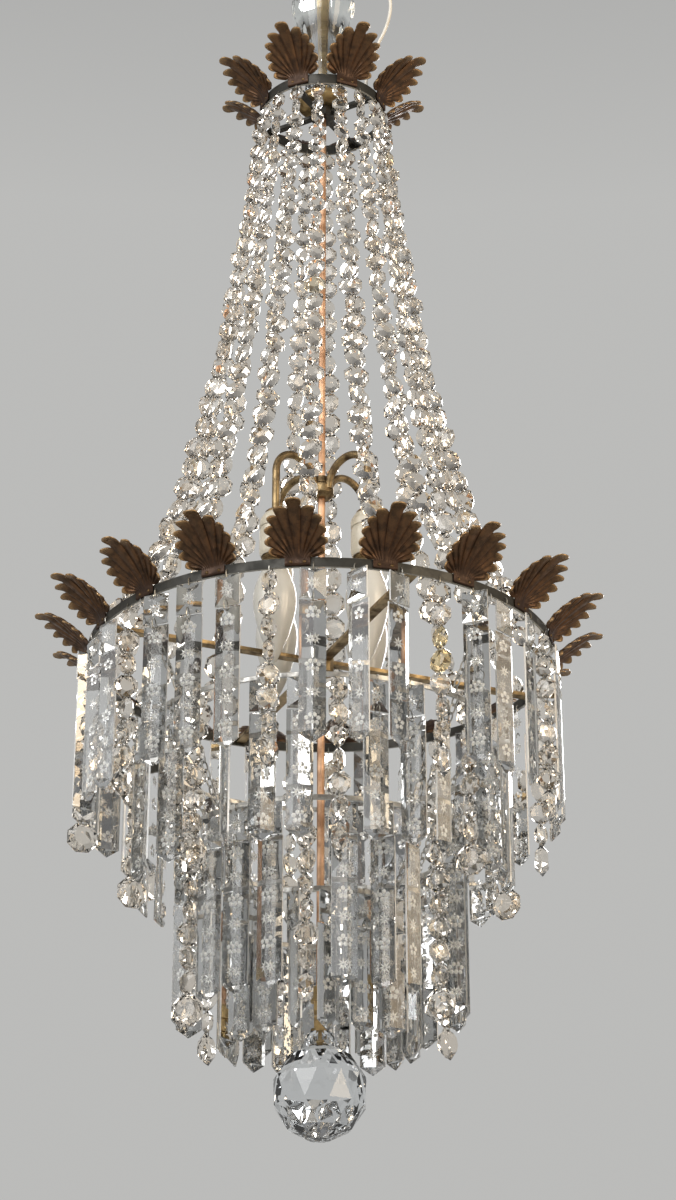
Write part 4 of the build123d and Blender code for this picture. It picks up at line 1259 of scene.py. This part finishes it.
# %% [markdown]
# ## The studio
#
# Glass has no colour of its own: what makes a facet light or dark is what it reflects and bends.
# So the world is pale round the horizon and greyer overhead, and the floor glows pale to the eye
# and to reflections but lights nothing.

# %% Floor and world
FLOOR_RADIUS, FLOOR_THICK, FLOOR_HEIGHT = 40000.0, 4.0, -5500.0
pale_floor, tree, shader = new_finish("pale_floor", Roughness=0.8,
                                      Emission_Color=(0.43, 0.43, 0.42, 1))
cloud = noise(tree, add(tree, "ShaderNodeTexCoord").outputs["Object"], 0.8)
cloud = spread(tree, cloud, 0.3, 0.7, 0.0, 1.0)
tree.links.new(mix_colors(tree, cloud, (0.24, 0.235, 0.225, 1), (0.27, 0.265, 0.255, 1)),
               shader.inputs["Base Color"])
rays = add(tree, "ShaderNodeLightPath").outputs
seen = maths(tree, "MAXIMUM", rays["Is Camera Ray"], rays["Is Glossy Ray"])
seen = maths(tree, "MAXIMUM", seen, rays["Is Transmission Ray"])
tree.links.new(seen, shader.inputs["Emission Strength"])
disc = lathe([(FLOOR_RADIUS, -FLOOR_THICK), (FLOOR_RADIUS, 0.0)], 64)
floor = put("floor", moved(disc, z=FLOOR_HEIGHT), pale_floor)
floor.parent = None
del floor["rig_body"]

world = bpy.data.worlds.new("studio")
bpy.context.scene.world = world
world.use_nodes = True
tree = world.node_tree
toward = add(tree, "ShaderNodeTexCoord").outputs["Generated"]
upward = add(tree, "ShaderNodeSeparateXYZ", {0: toward}).outputs[2]
overhead = spread(tree, upward, 0.55, 0.95, 0.0, 1.0)
sky = mix_colors(tree, overhead, (0.50, 0.50, 0.49, 1), (0.09, 0.09, 0.095, 1))
tree.links.new(sky, tree.nodes["Background"].inputs["Color"])
print("floor", round(-FLOOR_HEIGHT / 1000, 1), "m below the eye, pale world")

# %% [markdown]
# Two large soft lamps stand in front, a white one at the left and a warmer one at the right, and
# one behind picks out the edges. Two small ones set off sparks in the cuts.


# %% Lamps
def studio_lamp(name, place, watts, size, color=(1.0, 1.0, 1.0)):
    """A square soft lamp that looks at the middle of the chandelier; the size is its side."""
    light = bpy.data.lights.new(name, "AREA")
    light.energy, light.size, light.color = watts, size, color
    lamp = bpy.data.objects.new(name, light)
    lamp.location = place
    aim = Vector((0.0, 0.0, -0.7)) - Vector(place)
    lamp.rotation_euler = aim.to_track_quat("-Z", "Y").to_euler()
    bpy.context.scene.collection.objects.link(lamp)


studio_lamp("key", (-1.7, -2.0, 0.5), 60.0, 2.4)
studio_lamp("fill", (2.2, -1.6, -0.3), 44.0, 1.8, (1.0, 0.80, 0.56))
studio_lamp("rim", (0.9, 2.3, 0.6), 30.0, 1.0)
studio_lamp("spark", (-0.6, -2.4, 0.9), 12.0, 0.16)
studio_lamp("spark_right", (1.3, -2.0, -1.7), 6.0, 0.14, (1.0, 0.8, 0.55))
print(len(bpy.data.lights), "lamps")
